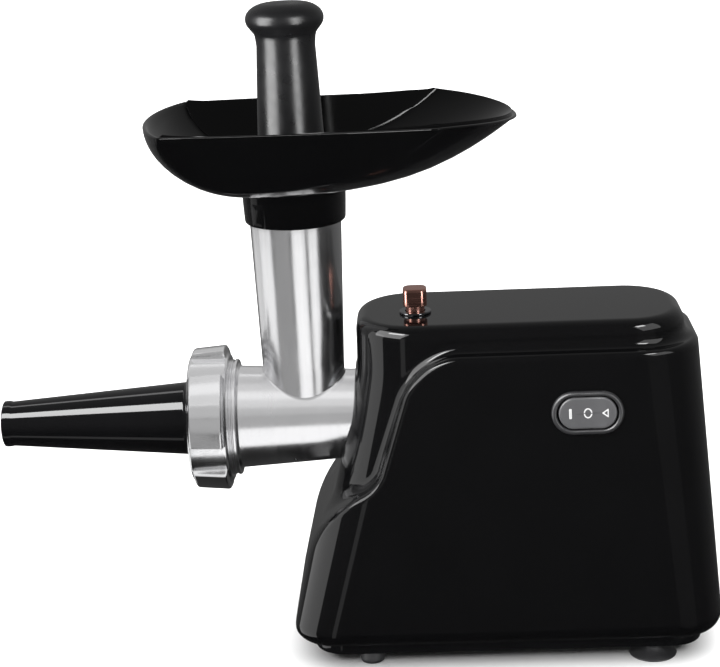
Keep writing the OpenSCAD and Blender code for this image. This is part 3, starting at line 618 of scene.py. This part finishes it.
def build_tube(material):
    """A flange behind the ring's lip, a short neck through it and a long cone with a beaded tip."""
    flange = [(-58.1, 18.5), (-58.1, TUBE_FLANGE_R), (-60.9, TUBE_FLANGE_R), (-60.9, TUBE_NECK_R)]
    cone = [(-65.8, TUBE_NECK_R, 0.8), (-67.6, 20.6, 1.5), (TUBE_TIP + 5, 12.7, 2)]
    tip = [(TUBE_TIP + 3.2, TUBE_TIP_R, 0.8), (TUBE_TIP, TUBE_TIP_R, 1.2), (TUBE_TIP, 10.9, 0.8)]
    inside = [(-64, 18.3)]
    profile = soften(flange + cone + tip + inside, 0.3, closed=True)
    mesh = new_mesh("stuffing_tube", *lathe_x(profile, 144))
    return add_piece("stuffing_tube", mesh, material, "nozzle", ["stuffing_tube"])


# ---------------- hopper pan

DISH_X = -23
DISH_W = 86.5
DISH_FLOOR = 131
RIM_Z = 171.6
RIM_ROUND = 0.9
SPOUT_DROP = 4
PAN_FRONT = 122.5
PAN_BACK = 79
PAN_W = 62.5
PAN_T = 2.2
SIDE_SLOPE = math.tan(math.radians(12))
COLLAR_R = 27.7
COLLAR_BORE = 25.5
COLLAR_Z = 113.4


def dish_at(x, y, grow):
    """1 on the dish's oval rim and less inside it. The two ends reach out by different lengths."""
    reach = np.where(x > DISH_X, PAN_FRONT - DISH_X, PAN_BACK + DISH_X)
    return np.hypot((x - DISH_X) / (reach + grow), y / (DISH_W + grow))


def side_at(x, widest=30, bow=5, reach=95):
    """Half the width between the flat side walls, which bow a little."""
    return PAN_W - bow * ((x - widest) / reach) ** 2


def rim_at(x, spout=80):
    """Height of the rim, which drops towards the spout."""
    return RIM_Z - SPOUT_DROP * np.maximum(0, (x - spout) / (PAN_FRONT - spout)) ** 1.5


def dish_height(x, y, grow, bowl=1.8, late=3.6):
    """The oval dish: its blunt end rises like a bowl and its spout end rises late."""
    q = np.minimum(1, dish_at(x, y, grow))
    lean = (1 + (x - DISH_X) / np.sqrt((x - DISH_X) ** 2 + y ** 2 + 1)) / 2
    rise = (1 - lean) * (1 - np.sqrt(np.maximum(0, 1 - q ** bowl))) + lean * q ** late
    return DISH_FLOOR + rise * (rim_at(x) - DISH_FLOOR)


def side_height(x, y, grow):
    """The flat side walls, steep and leaning out."""
    return RIM_Z - (side_at(x) + grow - np.abs(y)) / SIDE_SLOPE


def pan_height(x, y, grow, blend=1.2):
    """The dish and its flat side walls, blended over a narrow crease."""
    dish, side = dish_height(x, y, grow), side_height(x, y, grow)
    mean, gap = (dish + side) / 2, (dish - side) / 2
    return np.minimum(rim_at(x), mean + np.sqrt(gap ** 2 + blend ** 2))


def first_cross(test, low, high):
    """For each direction, the distance at which test turns false, by halving the interval."""
    low, high = low.copy(), high.copy()
    for _ in range(30):
        mid = (low + high) / 2
        holds = test(mid)
        low, high = np.where(holds, mid, low), np.where(holds, high, mid)
    return low


def pan_side(a, from_r, grow, lift):
    """Rings from the middle of the pan out to its rim, with stations packed at the crease."""
    cos, sin = np.cos(a), np.sin(a)
    start = np.full(len(a), float(from_r))
    far = np.full(len(a), 150.0)

    def in_pan(d):
        return (dish_at(d * cos, d * sin, grow) < 1) & (np.abs(d * sin) < side_at(d * cos) + grow)

    def below_crease(d):
        return dish_height(d * cos, d * sin, grow) > side_height(d * cos, d * sin, grow)

    rim = first_cross(in_pan, start, far)
    crease = np.minimum(first_cross(below_crease, start, rim), rim - 0.06 * (rim - start))
    floor_steps = [0, 0.04, 0.12, 0.22, 0.34, 0.46, 0.58, 0.7, 0.8, 0.88, 0.94, 0.975, 1]
    wall_steps = [0.08, 0.2, 0.36, 0.52, 0.68, 0.82, 0.92, 1]
    spans = [(start, crease, s) for s in floor_steps] + [(crease, rim, s) for s in wall_steps]
    rings = []
    for inner, outer, s in spans:
        d = inner + (outer - inner) * s
        x, y = d * cos, d * sin
        z = pan_height(x, y, grow) if s < 1 or outer is crease else rim_at(x)
        rings.append(np.stack([x, y, z + lift], 1))
    rings[-1][:, 2] -= lift
    return rings


def pan_rim(inner, outer):
    """Rings that round the rim between the pan's inner and outer edge, which are lowered to meet them."""
    rings = []
    for t in (30, 60, 90, 120, 150):
        share = (1 - math.cos(math.radians(t))) / 2
        ring = inner * (1 - share) + outer * share
        ring[:, 2] += RIM_ROUND * (math.sin(math.radians(t)) - 1)
        rings.append(ring)
    inner[:, 2] -= RIM_ROUND
    outer[:, 2] -= RIM_ROUND
    return rings


def build_pan(material):
    count = 288
    a = angles(count)
    inner = pan_side(a, FEED_BORE + 0.5, -PAN_T, PAN_T)
    outer = pan_side(a, COLLAR_R + 1.6, 0, 0)
    rim = pan_rim(inner[-1], outer[-1])
    outside = [(COLLAR_R + 1.2, DISH_FLOOR - 0.2), (COLLAR_R + 0.7, DISH_FLOOR - 1), (COLLAR_R + 0.55, 124),
               (COLLAR_R + 0.1, COLLAR_Z + 1.4), (COLLAR_R - 0.1, COLLAR_Z + 0.5), (COLLAR_R - 0.6, COLLAR_Z)]
    inside = [(COLLAR_BORE + 0.1, COLLAR_Z), (COLLAR_BORE, COLLAR_Z + 0.4), (COLLAR_BORE, NECK_TOP + 0.4),
              (FEED_BORE, NECK_TOP + 0.4)]
    collar = [ring_z(z, r, count) for r, z in outside + inside]
    mouth = ring_z(DISH_FLOOR + PAN_T - 0.1, FEED_BORE, count)
    rings = [mouth, *inner, *rim, *outer[::-1], *collar]
    mesh = new_mesh("hopper_pan", *join(skin(rings, closed=True), pan_tab()))
    return add_piece("hopper_pan", mesh, material, "pan", ["hopper_pan"], crease=40)


def pan_tab():
    """A small raised pad on the near side of the collar."""
    at = -math.pi / 2 - math.radians(41)
    rings = []
    for inset, out in ((0, -0.8), (0, 0.35), (0.35, 0.6), (3, 0.6)):
        flat = rounded_rectangle(4.4 - inset, 6.4 - inset, max(0.8 - inset, 0.1), 32)
        a = at + flat[:, 0] / COLLAR_R
        r = COLLAR_R + 0.3 + out
        rings.append(np.stack([r * np.cos(a), r * np.sin(a), COLLAR_Z + 7 + flat[:, 1]], 1))
    return skin(rings)


# ---------------- pusher

PUSHER_TOP = 232
PUSHER_FOOT = 27
PUSHER_R = 19.2
PUSHER_WAIST_R = 15.7
PUSHER_TAPER_Z = 100


def pusher_radius(z):
    """Straight inside the neck and then tapering to the waist under the knob."""
    up = max(0, (z - PUSHER_TAPER_Z) / (PUSHER_TOP - 20 - PUSHER_TAPER_Z))
    return PUSHER_WAIST_R + (PUSHER_R - PUSHER_WAIST_R) * (1 - up ** 1.6)


def build_pusher(material):
    """A hollow pusher, drawn as (radius, height) up its outside and down its inside."""
    foot = [(16.8, PUSHER_FOOT), (PUSHER_R - 0.6, PUSHER_FOOT), (PUSHER_R, PUSHER_FOOT + 0.8)]
    handle = [(pusher_radius(z), z) for z in np.arange(PUSHER_FOOT + 2, PUSHER_TOP - 20, 12)]
    knob = through([(r, PUSHER_TOP - drop) for r, drop in (
        (16.3, 18.6), (16.9, 16.4), (18.7, 14), (20.5, 11.4), (21.1, 8.6), (20.4, 5.8), (18.2, 3.2),
        (14.2, 1.1), (9.5, 0.25), (0.6, 0))])
    inside = [(0.6, PUSHER_TOP - 3), (12, PUSHER_TOP - 5), (13.6, PUSHER_TOP - 24),
              (PUSHER_R - 2.6, PUSHER_TAPER_Z), (16.8, PUSHER_FOOT + 2)]
    profile = foot + handle + knob + inside
    mesh = new_mesh("food_pusher", *lathe_z(profile, 128))
    return add_piece("food_pusher", mesh, material, "pusher", ["food_pusher"], crease=50)


# ---------------- release button

CAP_LOW = TOP_Z + 4.6
CAP_TOP = TOP_Z + 14.4
CAP_W = 6.6
CAP_CORNER = 3.8
STEM_R = 5.2


def build_button(material):
    """A round stem that carries a cap with rounded corners and a rounded rim."""
    stem = [ring_z(z, r, 64) for r, z in ((2.4, TOP_Z - 4), (STEM_R, TOP_Z - 4), (STEM_R, CAP_LOW - 0.2))]
    cap = [rounded_rectangle(CAP_W - inset, CAP_W - inset, CAP_CORNER - inset * 0.7) + (0, 0, z)
           for inset, z in ((0.9, CAP_LOW), (0.25, CAP_LOW + 0.15), (0, CAP_LOW + 0.6), (0, CAP_TOP - 1.3),
                            (0.1, CAP_TOP - 0.8), (0.45, CAP_TOP - 0.3), (1.0, CAP_TOP - 0.04),
                            (1.4, CAP_TOP), (3, CAP_TOP), (5, CAP_TOP))]
    points, faces = skin(stem + cap)
    mesh = new_mesh("release_button", points + (BUTTON.x, BUTTON.y, 0), faces)
    return add_piece("release_button", mesh, material, "release", ["release_button"])


def build_collar(material):
    """The thin flange about the button's stem, with a sleeve down through the housing's top."""
    profile = [(5.6, TOP_Z - 17), (5.6, TOP_Z + 1.5, 0.4), (8.8, TOP_Z + 1.5, 0.6), (8.8, TOP_Z + 0.1, 0.3),
               (7, TOP_Z, 0.1), (7, TOP_Z - 17)]
    points, faces = lathe_z(soften(profile, 0.2, closed=True), 72, True, BUTTON.x, BUTTON.y)
    mesh = new_mesh("button_collar", points, faces)
    return add_piece("button_collar", mesh, material, "base", ["button_collar"])


# ---------------- switch

# The length and width of outlines with round ends.
BEZEL = (38.8, 23.4)
BEZEL_HOLE = (33.0, 18.3)
BEZEL_SHANK = (33.4, 18.6)
ROCKER = (31.1, 17.3)

# Marks on the rocker: their relief, half their width and how far the outer two are from the middle one.
MARK_DEPTH = 0.12
MARK_W = 2.75
MARK_AT = 9.4


def pill(size, inset, w, arc=40, run=14):
    """A flat ring with two straights and two round ends, and points along all of it."""
    radius = size[1] / 2 - inset
    half = size[0] / 2 - inset - radius
    turn = np.linspace(-math.pi / 2, math.pi / 2, arc)
    straight = np.linspace(half, -half, run + 2)[1:-1]
    right = np.stack([half + radius * np.cos(turn), radius * np.sin(turn)], 1)
    top = np.stack([straight, np.full(run, radius)], 1)
    one_side = np.vstack([right, top])
    flat = np.vstack([one_side, -one_side])
    return np.column_stack([flat, np.full(len(flat), float(w))])


def build_bezel(material):
    """A rounded frame about the rocker, with a shank down into the side wall."""
    rings = [pill(BEZEL, inset, w) for inset, w in (
        (0, 0), (0, 0.9), (0.1, 1.35), (0.4, 1.85), (0.85, 2.2), (1.4, 2.38), (1.8, 2.4))]
    rings += [pill(BEZEL_HOLE, inset, w) for inset, w in (
        (-0.9, 2.36), (-0.45, 2.2), (-0.12, 1.85), (0, 1.4), (0, -5.4))]
    rings += [pill(BEZEL_SHANK, 0, -5.4), pill(BEZEL_SHANK, 0, 0)]
    points, faces = skin(rings, closed=True)
    mesh = new_mesh("switch_bezel", on_side(points), faces)
    return add_piece("switch_bezel", mesh, material, "base", ["switch_bezel"])


def rocker_top(u, low=1.8, high=2.55, spread=120):
    """The rocker's top dips gently towards its middle."""
    return np.minimum(high, low + u ** 2 / spread)


def build_rocker(material):
    """A flat foot, then rings that round the rim and run in over the dipped top."""
    rings = [pill(ROCKER, 0, -2.6)]
    for inset, drop in ((0, 1.0), (0.1, 0.6), (0.35, 0.28), (0.75, 0.07), (1.2, 0), (2.2, 0), (3.6, 0),
                        (5.4, 0), (7.4, 0), (8.4, 0)):
        ring = pill(ROCKER, inset, 0)
        ring[:, 2] = rocker_top(ring[:, 0]) - drop
        rings.append(ring)
    points, faces = skin(rings)
    mesh = new_mesh("switch_rocker", on_side(points), faces)
    return add_piece("switch_rocker", mesh, material, "rocker", ["switch_rocker"])


def printed(outlines, at_u):
    """A painted mark on the rocker as a closed skin over its outlines, at a place along the rocker."""
    points, faces = skin(outlines, closed=True)
    points = points + (at_u, 0, 0)
    points[:, 2] += rocker_top(points[:, 0]) + 0.02
    return on_side(points), faces


def build_marks(material):
    """Plain signs for forward, off and reverse: a bar, a ring and an arrowhead."""
    lift = np.array((0, 0, MARK_DEPTH))
    outer_oval = ring_z(0, 1, 48) * (2.3, MARK_W, 1)
    inner_oval = ring_z(0, 1, 48) * (1.6, MARK_W - 0.7, 1)
    ring = printed([outer_oval, outer_oval + lift, inner_oval + lift, inner_oval], 0)
    bar_line = rounded_rectangle(0.7, MARK_W, 0.3, 32)
    bar = printed([bar_line, bar_line + lift, bar_line * (0.05, 0.9, 1) + lift], -MARK_AT)
    corners = [(-2.1, 0), (1.5, -2.6), (1.5, 2.6)]
    arrow_line = np.array([(x, y, 0) for x, y in soften(corners, 0.4, closed=True)])
    arrow_middle = arrow_line.mean(0)
    half_size = arrow_middle + (arrow_line - arrow_middle) * 0.5
    arrow = printed([arrow_line, arrow_line + lift, half_size + lift], MARK_AT)
    mesh = new_mesh("switch_marks", *join(ring, bar, arrow))
    piece = place("switch_marks", mesh)
    mesh.materials.append(material)
    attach(piece, "rocker")
    return piece


# ---------------- feet

FOOT_R = 7
FOOT_TOP = 7
CUP_R = 13.1


def feet_places(node, radius):
    """The middles of a pair of feet of this radius, from the box about their CAD node."""
    low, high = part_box(node)
    x = ((low.x + high.x) / 2 - ORIGIN.x) / MM
    y = (high.y / MM) - radius
    return [(x, -y), (x, y)]


def build_feet(material):
    """Plain feet in front and suction cups at the rear, drawn as (radius, height above the floor)."""
    ground = (FLOOR_Z - ORIGIN.z) / MM
    plain = soften([(0.5, 0), (5.6, 0, 0.3), (6.4, 0.4, 0.5), (FOOT_R, 2.2, 0.8), (FOOT_R, FOOT_TOP, 0.2),
                    (0.5, FOOT_TOP)], 0.2)
    plain_feet = [lathe_z([(r, z + ground) for r, z in plain], 64, False, x, y)
                  for x, y in feet_places("front_feet", FOOT_R)]
    cup = [(0.6, 1.5), (7.8, 1.0), (12.3, 0.05), (12.9, 0.15), (CUP_R, 0.55), (12.8, 1.1), (10.4, 2.0),
           (7.9, 2.9), (6.1, 4.1), (5.3, 5.0), (5.5, 5.6), (6.6, 6.1), (FOOT_R, 6.6), (FOOT_R, FOOT_TOP),
           (0.6, FOOT_TOP)]
    cups = [lathe_z([(r, z + ground) for r, z in cup], 72, False, x, y)
            for x, y in feet_places("suction_feet", CUP_R)]
    front = new_mesh("front_feet", *join(*plain_feet))
    rear = new_mesh("suction_feet", *join(*cups))
    return [add_piece("front_feet", front, material, "base", ["front_feet"]),
            add_piece("suction_feet", rear, material, "base", ["suction_feet"], crease=50)]


# ---------------- materials


def set_range(node, numbers):
    """Fills a map range node: from least, from most, to least, to most."""
    for socket, number in zip(("From Min", "From Max", "To Min", "To Max"), numbers):
        node.inputs[socket].default_value = number


class Finish:
    """A material with a Principled shader, and short calls for the nodes that vary it."""

    def __init__(self, name, colour, rough, metal=0.0):
        self.material = bpy.data.materials.new(name)
        self.material.use_nodes = True
        self.tree = self.material.node_tree
        self.shader = self.tree.nodes["Principled BSDF"]
        self.set("Base Color", (*colour, 1))
        self.set("Roughness", rough)
        self.set("Metallic", metal)
        self.coords = self.tree.nodes.new("ShaderNodeTexCoord").outputs["Object"]
        self.bump_in = None

    def set(self, socket, value):
        self.shader.inputs[socket].default_value = value

    def link(self, out, into):
        self.tree.links.new(out, into)

    def stretched(self, scale):
        """Object coordinates with a scale along each axis."""
        node = self.tree.nodes.new("ShaderNodeMapping")
        node.inputs["Scale"].default_value = scale
        self.link(self.coords, node.inputs["Vector"])
        return node.outputs["Vector"]

    def noise(self, scale, detail=3.0, rough=0.5, along=None):
        node = self.tree.nodes.new("ShaderNodeTexNoise")
        node.inputs["Scale"].default_value = scale
        node.inputs["Detail"].default_value = detail
        node.inputs["Roughness"].default_value = rough
        self.link(along or self.coords, node.inputs["Vector"])
        return node.outputs["Fac"]

    def spread(self, value, low, high):
        """A noise, which mostly lies from 0.3 to 0.7, mapped onto another range."""
        node = self.tree.nodes.new("ShaderNodeMapRange")
        set_range(node, (0.3, 0.7, low, high))
        self.link(value, node.inputs["Value"])
        return node.outputs["Result"]

    def average(self, a, b):
        """Half of each of two values, added."""
        both = self.tree.nodes.new("ShaderNodeMath")
        both.operation = "ADD"
        for value, into in zip((a, b), both.inputs):
            half = self.tree.nodes.new("ShaderNodeMath")
            half.operation = "MULTIPLY"
            half.inputs[1].default_value = 0.5
            self.link(value, half.inputs[0])
            self.link(half.outputs[0], into)
        return both.outputs[0]

    def tint(self, value, dark, light):
        """The colour runs from dark to light with the value."""
        node = self.tree.nodes.new("ShaderNodeMix")
        node.data_type = "RGBA"
        node.inputs["A"].default_value = (*dark, 1)
        node.inputs["B"].default_value = (*light, 1)
        self.link(value, node.inputs["Factor"])
        self.link(node.outputs["Result"], self.shader.inputs["Base Color"])

    def rough(self, value, low, high):
        """The roughness runs from low to high with the value."""
        self.link(self.spread(value, low, high), self.shader.inputs["Roughness"])

    def bump(self, height, distance, strength=1.0):
        """Adds relief, with its depth in millimetres."""
        node = self.tree.nodes.new("ShaderNodeBump")
        node.inputs["Distance"].default_value = distance * MM
        node.inputs["Strength"].default_value = strength
        self.link(height, node.inputs["Height"])
        if self.bump_in is not None:
            self.link(self.bump_in, node.inputs["Normal"])
        self.bump_in = node.outputs["Normal"]
        self.link(self.bump_in, self.shader.inputs["Normal"])


def gloss_black(name, rough=0.05):
    """Glossy moulded plastic: nearly black, with faint flow marks and a very fine wave in its shine."""
    f = Finish(name, (0.0022, 0.0022, 0.0024), rough)
    f.rough(f.noise(60, 4), rough * 0.7, rough * 1.5)
    f.tint(f.noise(25, 2), (0.0018, 0.0018, 0.002), (0.003, 0.003, 0.0033))
    f.bump(f.noise(90, 2), 0.02, 0.35)
    return f.material


def cast_metal(name, colour, rough, lines, depth=0.03):
    """Polished casting with fine turning lines, cloudy wear and tiny pits."""
    f = Finish(name, colour, rough, 1.0)
    brushed = f.noise(1, 4, 0.65, f.stretched(lines))
    clouds = f.noise(38, 4, 0.6)
    f.tint(clouds, tuple(c * 0.9 for c in colour), colour)
    f.rough(f.average(brushed, clouds), rough * 0.65, rough * 1.45)
    f.bump(brushed, depth, 0.5)
    f.bump(f.noise(1400, 2), 0.02, 0.25)
    return f.material


def satin_plastic(name, colour, rough, grain=900, depth=0.03):
    """Moulded plastic with a fine grain."""
    f = Finish(name, colour, rough)
    f.tint(f.noise(60, 3), tuple(c * 0.85 for c in colour), tuple(c * 1.15 for c in colour))
    f.rough(f.noise(140, 4), rough * 0.85, rough * 1.2)
    f.bump(f.noise(grain, 3), depth, 0.5)
    return f.material


def plain_metal(name, colour, rough, lines=(300, 300, 300)):
    """Machined or drawn metal. Its lines run across the axis with the largest number."""
    f = Finish(name, colour, rough, 1.0)
    grain = f.noise(1, 3, 0.6, f.stretched(lines))
    f.tint(f.noise(80, 4), tuple(c * 0.8 for c in colour), colour)
    f.rough(grain, rough * 0.7, rough * 1.3)
    f.bump(grain, 0.03, 0.4)
    return f.material


def rubber(name):
    """Dull black rubber with a dusty bloom."""
    f = Finish(name, (0.012, 0.012, 0.013), 0.5)
    f.tint(f.noise(120, 4), (0.009, 0.009, 0.01), (0.02, 0.02, 0.021))
    f.rough(f.noise(300, 3), 0.38, 0.62)
    f.bump(f.noise(1500, 2), 0.04, 0.5)
    return f.material


def wound_wire(name):
    """Enamelled copper wire in close turns."""
    f = Finish(name, (0.45, 0.17, 0.07), 0.35, 0.85)
    f.set("Coat Weight", 0.5)
    turns = f.noise(1, 1, 0.5, f.stretched((60, 2200, 2200)))
    f.tint(turns, (0.28, 0.09, 0.03), (0.6, 0.26, 0.11))
    f.rough(turns, 0.25, 0.5)
    f.bump(turns, 0.15, 0.8)
    return f.material


def stacked_sheets(name):
    """Thin steel sheets stacked along the motor."""
    f = Finish(name, (0.3, 0.3, 0.31), 0.45, 1.0)
    sheets = f.noise(1, 1, 0.5, f.stretched((2200, 4, 4)))
    f.tint(sheets, (0.14, 0.14, 0.15), (0.42, 0.42, 0.43))
    f.rough(f.noise(200, 3), 0.35, 0.6)
    f.bump(sheets, 0.1, 0.8)
    return f.material


def white_paint(name):
    """Printed paint, a little uneven."""
    f = Finish(name, (0.8, 0.8, 0.8), 0.45)
    f.tint(f.noise(500, 3), (0.7, 0.7, 0.7), (0.86, 0.86, 0.86))
    f.rough(f.noise(700, 2), 0.38, 0.55)
    return f.material


MATERIALS = {
    "black_plastic": gloss_black("gloss black plastic"),
    "pan_plastic": gloss_black("gloss black pan", 0.09),
    "grey_plastic": satin_plastic("charcoal satin plastic", (0.006, 0.006, 0.0065), 0.3),
    "cast_aluminium": cast_metal("polished cast aluminium", (0.87, 0.87, 0.88), 0.2, (900, 30, 30)),
    "ring_aluminium": cast_metal("polished ring casting", (0.88, 0.88, 0.89), 0.17, (900, 40, 40)),
    "steel": plain_metal("bright steel", (0.62, 0.62, 0.64), 0.25, (900, 60, 60)),
    "dark_chrome": plain_metal("dark chrome", (0.22, 0.22, 0.23), 0.12, (60, 60, 900)),
    "copper_metal": plain_metal("brushed copper rose", (0.74, 0.38, 0.31), 0.24, (80, 80, 1200)),
    "switch_plastic": satin_plastic("switch plastic", (0.045, 0.045, 0.047), 0.36, 1200, 0.02),
    "bezel_plastic": satin_plastic("bezel plastic", (0.016, 0.016, 0.017), 0.3, 1200, 0.02),
    "rubber": rubber("black rubber"),
    "zinc": cast_metal("die cast zinc", (0.5, 0.51, 0.53), 0.4, (120, 120, 120), 0.06),
    "nylon": satin_plastic("natural nylon", (0.72, 0.69, 0.6), 0.4),
    "bronze": plain_metal("sintered bronze", (0.5, 0.33, 0.16), 0.4),
    "brass": plain_metal("drawn brass", (0.72, 0.52, 0.22), 0.25),
    "copper_wire": wound_wire("enamelled copper wire"),
    "lamination": stacked_sheets("laminated steel"),
    "carbon": satin_plastic("pressed carbon", (0.02, 0.02, 0.021), 0.5),
    "marks": white_paint("white paint"),
}


def finish_cad_nodes():
    """Every CAD node takes the finish of its slot in the record, which shows where no piece stands for it."""
    slots = {part["node"]: part["material_slot"] for part in frame["record"]["subparts"]}
    for name, node in frame["nodes"].items():
        node.data.materials.clear()
        node.data.materials.append(MATERIALS[slots[name]])


def round_edges(name, width):
    """Small rounded edges on a CAD node that shows."""
    node = frame["nodes"][name]
    weld = node.modifiers.new("weld", "WELD")
    weld.merge_threshold = 0.02 * MM
    bevel = node.modifiers.new("edges", "BEVEL")
    bevel.width = width * MM
    bevel.segments = 3
    bevel.limit_method = "ANGLE"
    bevel.angle_limit = math.radians(40)
    bevel.harden_normals = True


# ---------------- floor, room and lights


def build_floor(far=6.0):
    """A wide white floor that the machine's own reflections leave out."""
    corners = [(x, y, FLOOR_Z) for x, y in ((-far, -far), (far, -far), (far, far), (-far, far))]
    mesh = bpy.data.meshes.new("floor")
    mesh.from_pydata(corners, [], [(0, 1, 2, 3)])
    floor = place("floor", mesh)
    f = Finish("pale floor", (0.93, 0.93, 0.93), 0.9)
    f.set("Specular IOR Level", 0.1)
    mesh.materials.append(f.material)
    floor.visible_glossy = False
    return floor


# The room's brightness is the product of two ranges: direction from and to, then brightness from and to.
ROOM_BY_HEIGHT = (-0.45, 0.1, 0.015, 0.1)
ROOM_BY_DEPTH = (-0.2, 0.8, 1.0, 2.6)


def build_world():
    """A dim room for what the lights leave dark, and white behind the object."""
    world = bpy.data.worlds.new("studio")
    bpy.context.scene.world = world
    world.use_nodes = True
    nodes, links = world.node_tree.nodes, world.node_tree.links
    direction = nodes.new("ShaderNodeTexCoord").outputs["Generated"]
    split = nodes.new("ShaderNodeSeparateXYZ")
    links.new(direction, split.inputs[0])
    strength = nodes.new("ShaderNodeMath")
    strength.operation = "MULTIPLY"
    for i, (axis, numbers) in enumerate((("Z", ROOM_BY_HEIGHT), ("Y", ROOM_BY_DEPTH))):
        along = nodes.new("ShaderNodeMapRange")
        set_range(along, numbers)
        links.new(split.outputs[axis], along.inputs["Value"])
        links.new(along.outputs["Result"], strength.inputs[i])
    room = nodes["Background"]
    links.new(strength.outputs[0], room.inputs["Strength"])
    room.inputs["Color"].default_value = (1, 1, 1, 1)
    backdrop = nodes.new("ShaderNodeBackground")
    choose = nodes.new("ShaderNodeMixShader")
    links.new(nodes.new("ShaderNodeLightPath").outputs["Is Camera Ray"], choose.inputs["Fac"])
    links.new(room.outputs[0], choose.inputs[1])
    links.new(backdrop.outputs[0], choose.inputs[2])
    links.new(choose.outputs[0], nodes["World Output"].inputs["Surface"])


# Each light is a soft panel on a sphere about the machine. A panel is its name, azimuth, elevation,
# width and height in degrees, and its radiance. Azimuth 0 faces the switch side, and positive is
# towards the motor end. A strip lies over the machine: its elevation, height and radiance.

LIGHT_DISTANCE = 1400
METAL_STRIP_WIDTH = 130
METAL_STRIPS = ((4, 24, 0.35), (28, 22, 0.45), (47, 18, 0.66), (66, 20, 0.9),
                (87, 21, 0.6), (110, 24, 0.42), (125, 6, 0.9), (150, 40, 0.3))
METAL_CARDS = (("front", 8, -32, 33, 46, 1.15), ("right", 45, -32, 24, 46, 1.1),
               ("shade", -36, -32, 42, 46, 0.3), ("left", -84, -32, 42, 46, 1.0),
               ("side", -124, -32, 36, 46, 0.65))
GLOSS_PANELS = (("left", -88, 0, 56, 70, 1.3), ("edge", -17, -4, 9, 60, 0.4),
                ("right", 38, 0, 34, 60, 0.05), ("right_core", 38, 0, 16, 60, 0.06),
                ("high_left", -52, 44, 56, 40, 4.5), ("high_right", 52, 40, 36, 34, 1.6),
                ("key_left", -40, 56, 26, 8, 14.0), ("key_right", 44, 54, 14, 8, 14.0))
TUBE_STRIP_WIDTH = 110
TUBE_STRIPS = ((59, 24, 15.0), (115, 8, 2.2), (-53, 10, 0.5))
PAN_PANELS = (("key", 0, 57, 60, 10, 9.0), ("left", -100, 10, 24, 60, 0.35))
SATIN_PANELS = (("left", -60, 10, 42, 62, 11.0), ("right", 37, 10, 22, 62, 10.5))
SMALL_PANELS = (("left", -69, 6, 26, 60, 6.0), ("right", 39, 6, 14, 60, 6.0))
RIM_PANELS = (("high", -40, 46, 60, 40, 14.0),)


def add_light(name, azimuth, elevation, width, height, radiance, receivers, blockers=None):
    """A panel that lights only its receivers. Blockers, where given, are all that can shade them,
    as in a studio where each part gets its own light."""
    around, up = math.radians(azimuth), math.radians(elevation)
    across = Vector((math.cos(around), math.sin(around), 0))
    aim = Vector((math.sin(around) * math.cos(up), -math.cos(around) * math.cos(up), math.sin(up)))
    lamp = bpy.data.lights.new(name, "AREA")
    lamp.shape = "RECTANGLE"
    lamp.size = 2 * LIGHT_DISTANCE * MM * math.tan(math.radians(width) / 2)
    lamp.size_y = 2 * LIGHT_DISTANCE * MM * math.tan(math.radians(height) / 2)
    lamp.energy = radiance * math.pi * lamp.size * lamp.size_y
    light = place(name, lamp)
    axes = Matrix((across, aim.cross(across), aim)).transposed()
    light.matrix_world = Matrix.Translation(to_row(aim * LIGHT_DISTANCE)) @ axes.to_4x4()
    light.visible_camera = False
    light.light_linking.receiver_collection = receivers
    if blockers is not None:
        light.light_linking.blocker_collection = blockers


def add_panels(prefix, panels, pieces, blockers=None):
    for name, *numbers in panels:
        add_light(f"{prefix}_{name}", *numbers, pieces, blockers)


def add_strips(prefix, width, strips, pieces, blockers=None):
    for elevation, height, radiance in strips:
        add_light(f"{prefix}_strip_{elevation}", 0, elevation, width, height, radiance, pieces, blockers)


def light_floor(pieces, brightness=6.5, spread=120):
    """A very wide sun for a bright floor with soft shadows."""
    lamp = bpy.data.lights.new("floor_light", "SUN")
    lamp.energy = brightness
    lamp.angle = math.radians(spread)
    light = place("floor_light", lamp)
    light.light_linking.receiver_collection = pieces


def group(name, *pieces):
    collection = bpy.data.collections.new(name)
    for piece in pieces:
        collection.objects.link(piece)
    return collection


# ---------------- the whole machine

finish_cad_nodes()
round_edges("bottom_cover", 0.8)
round_edges("cord_inlet_bush", 0.5)
housing = build_housing(MATERIALS["black_plastic"])
head = build_head(MATERIALS["cast_aluminium"])
ring = build_ring(MATERIALS["ring_aluminium"])
tube = build_tube(MATERIALS["black_plastic"])
pan = build_pan(MATERIALS["pan_plastic"])
pusher = build_pusher(MATERIALS["grey_plastic"])
button = build_button(MATERIALS["copper_metal"])
collar = build_collar(MATERIALS["dark_chrome"])
bezel = build_bezel(MATERIALS["bezel_plastic"])
rocker = build_rocker(MATERIALS["switch_plastic"])
marks = build_marks(MATERIALS["marks"])
feet = build_feet(MATERIALS["rubber"])
floor = build_floor()

cad_nodes = list(frame["nodes"].values())
metal = group("metal_pieces", head, ring)
add_strips("metal", METAL_STRIP_WIDTH, METAL_STRIPS, metal, metal)
add_panels("metal_card", METAL_CARDS, metal, metal)
add_panels("gloss", GLOSS_PANELS, group("gloss_pieces", housing, *cad_nodes))
add_strips("tube", TUBE_STRIP_WIDTH, TUBE_STRIPS, group("tube_pieces", tube))
add_panels("pan", PAN_PANELS, group("pan_pieces", pan))
pan.visible_glossy = False
add_panels("satin", SATIN_PANELS, group("satin_pieces", pusher, *feet, *cad_nodes))
add_panels("small", SMALL_PANELS, group("small_pieces", button, collar, bezel, rocker, marks))
add_panels("rims", RIM_PANELS, group("switch_pieces", bezel, rocker))
light_floor(group("floor_pieces", floor))
build_world()

bpy.context.scene.view_settings.view_transform = "Standard"
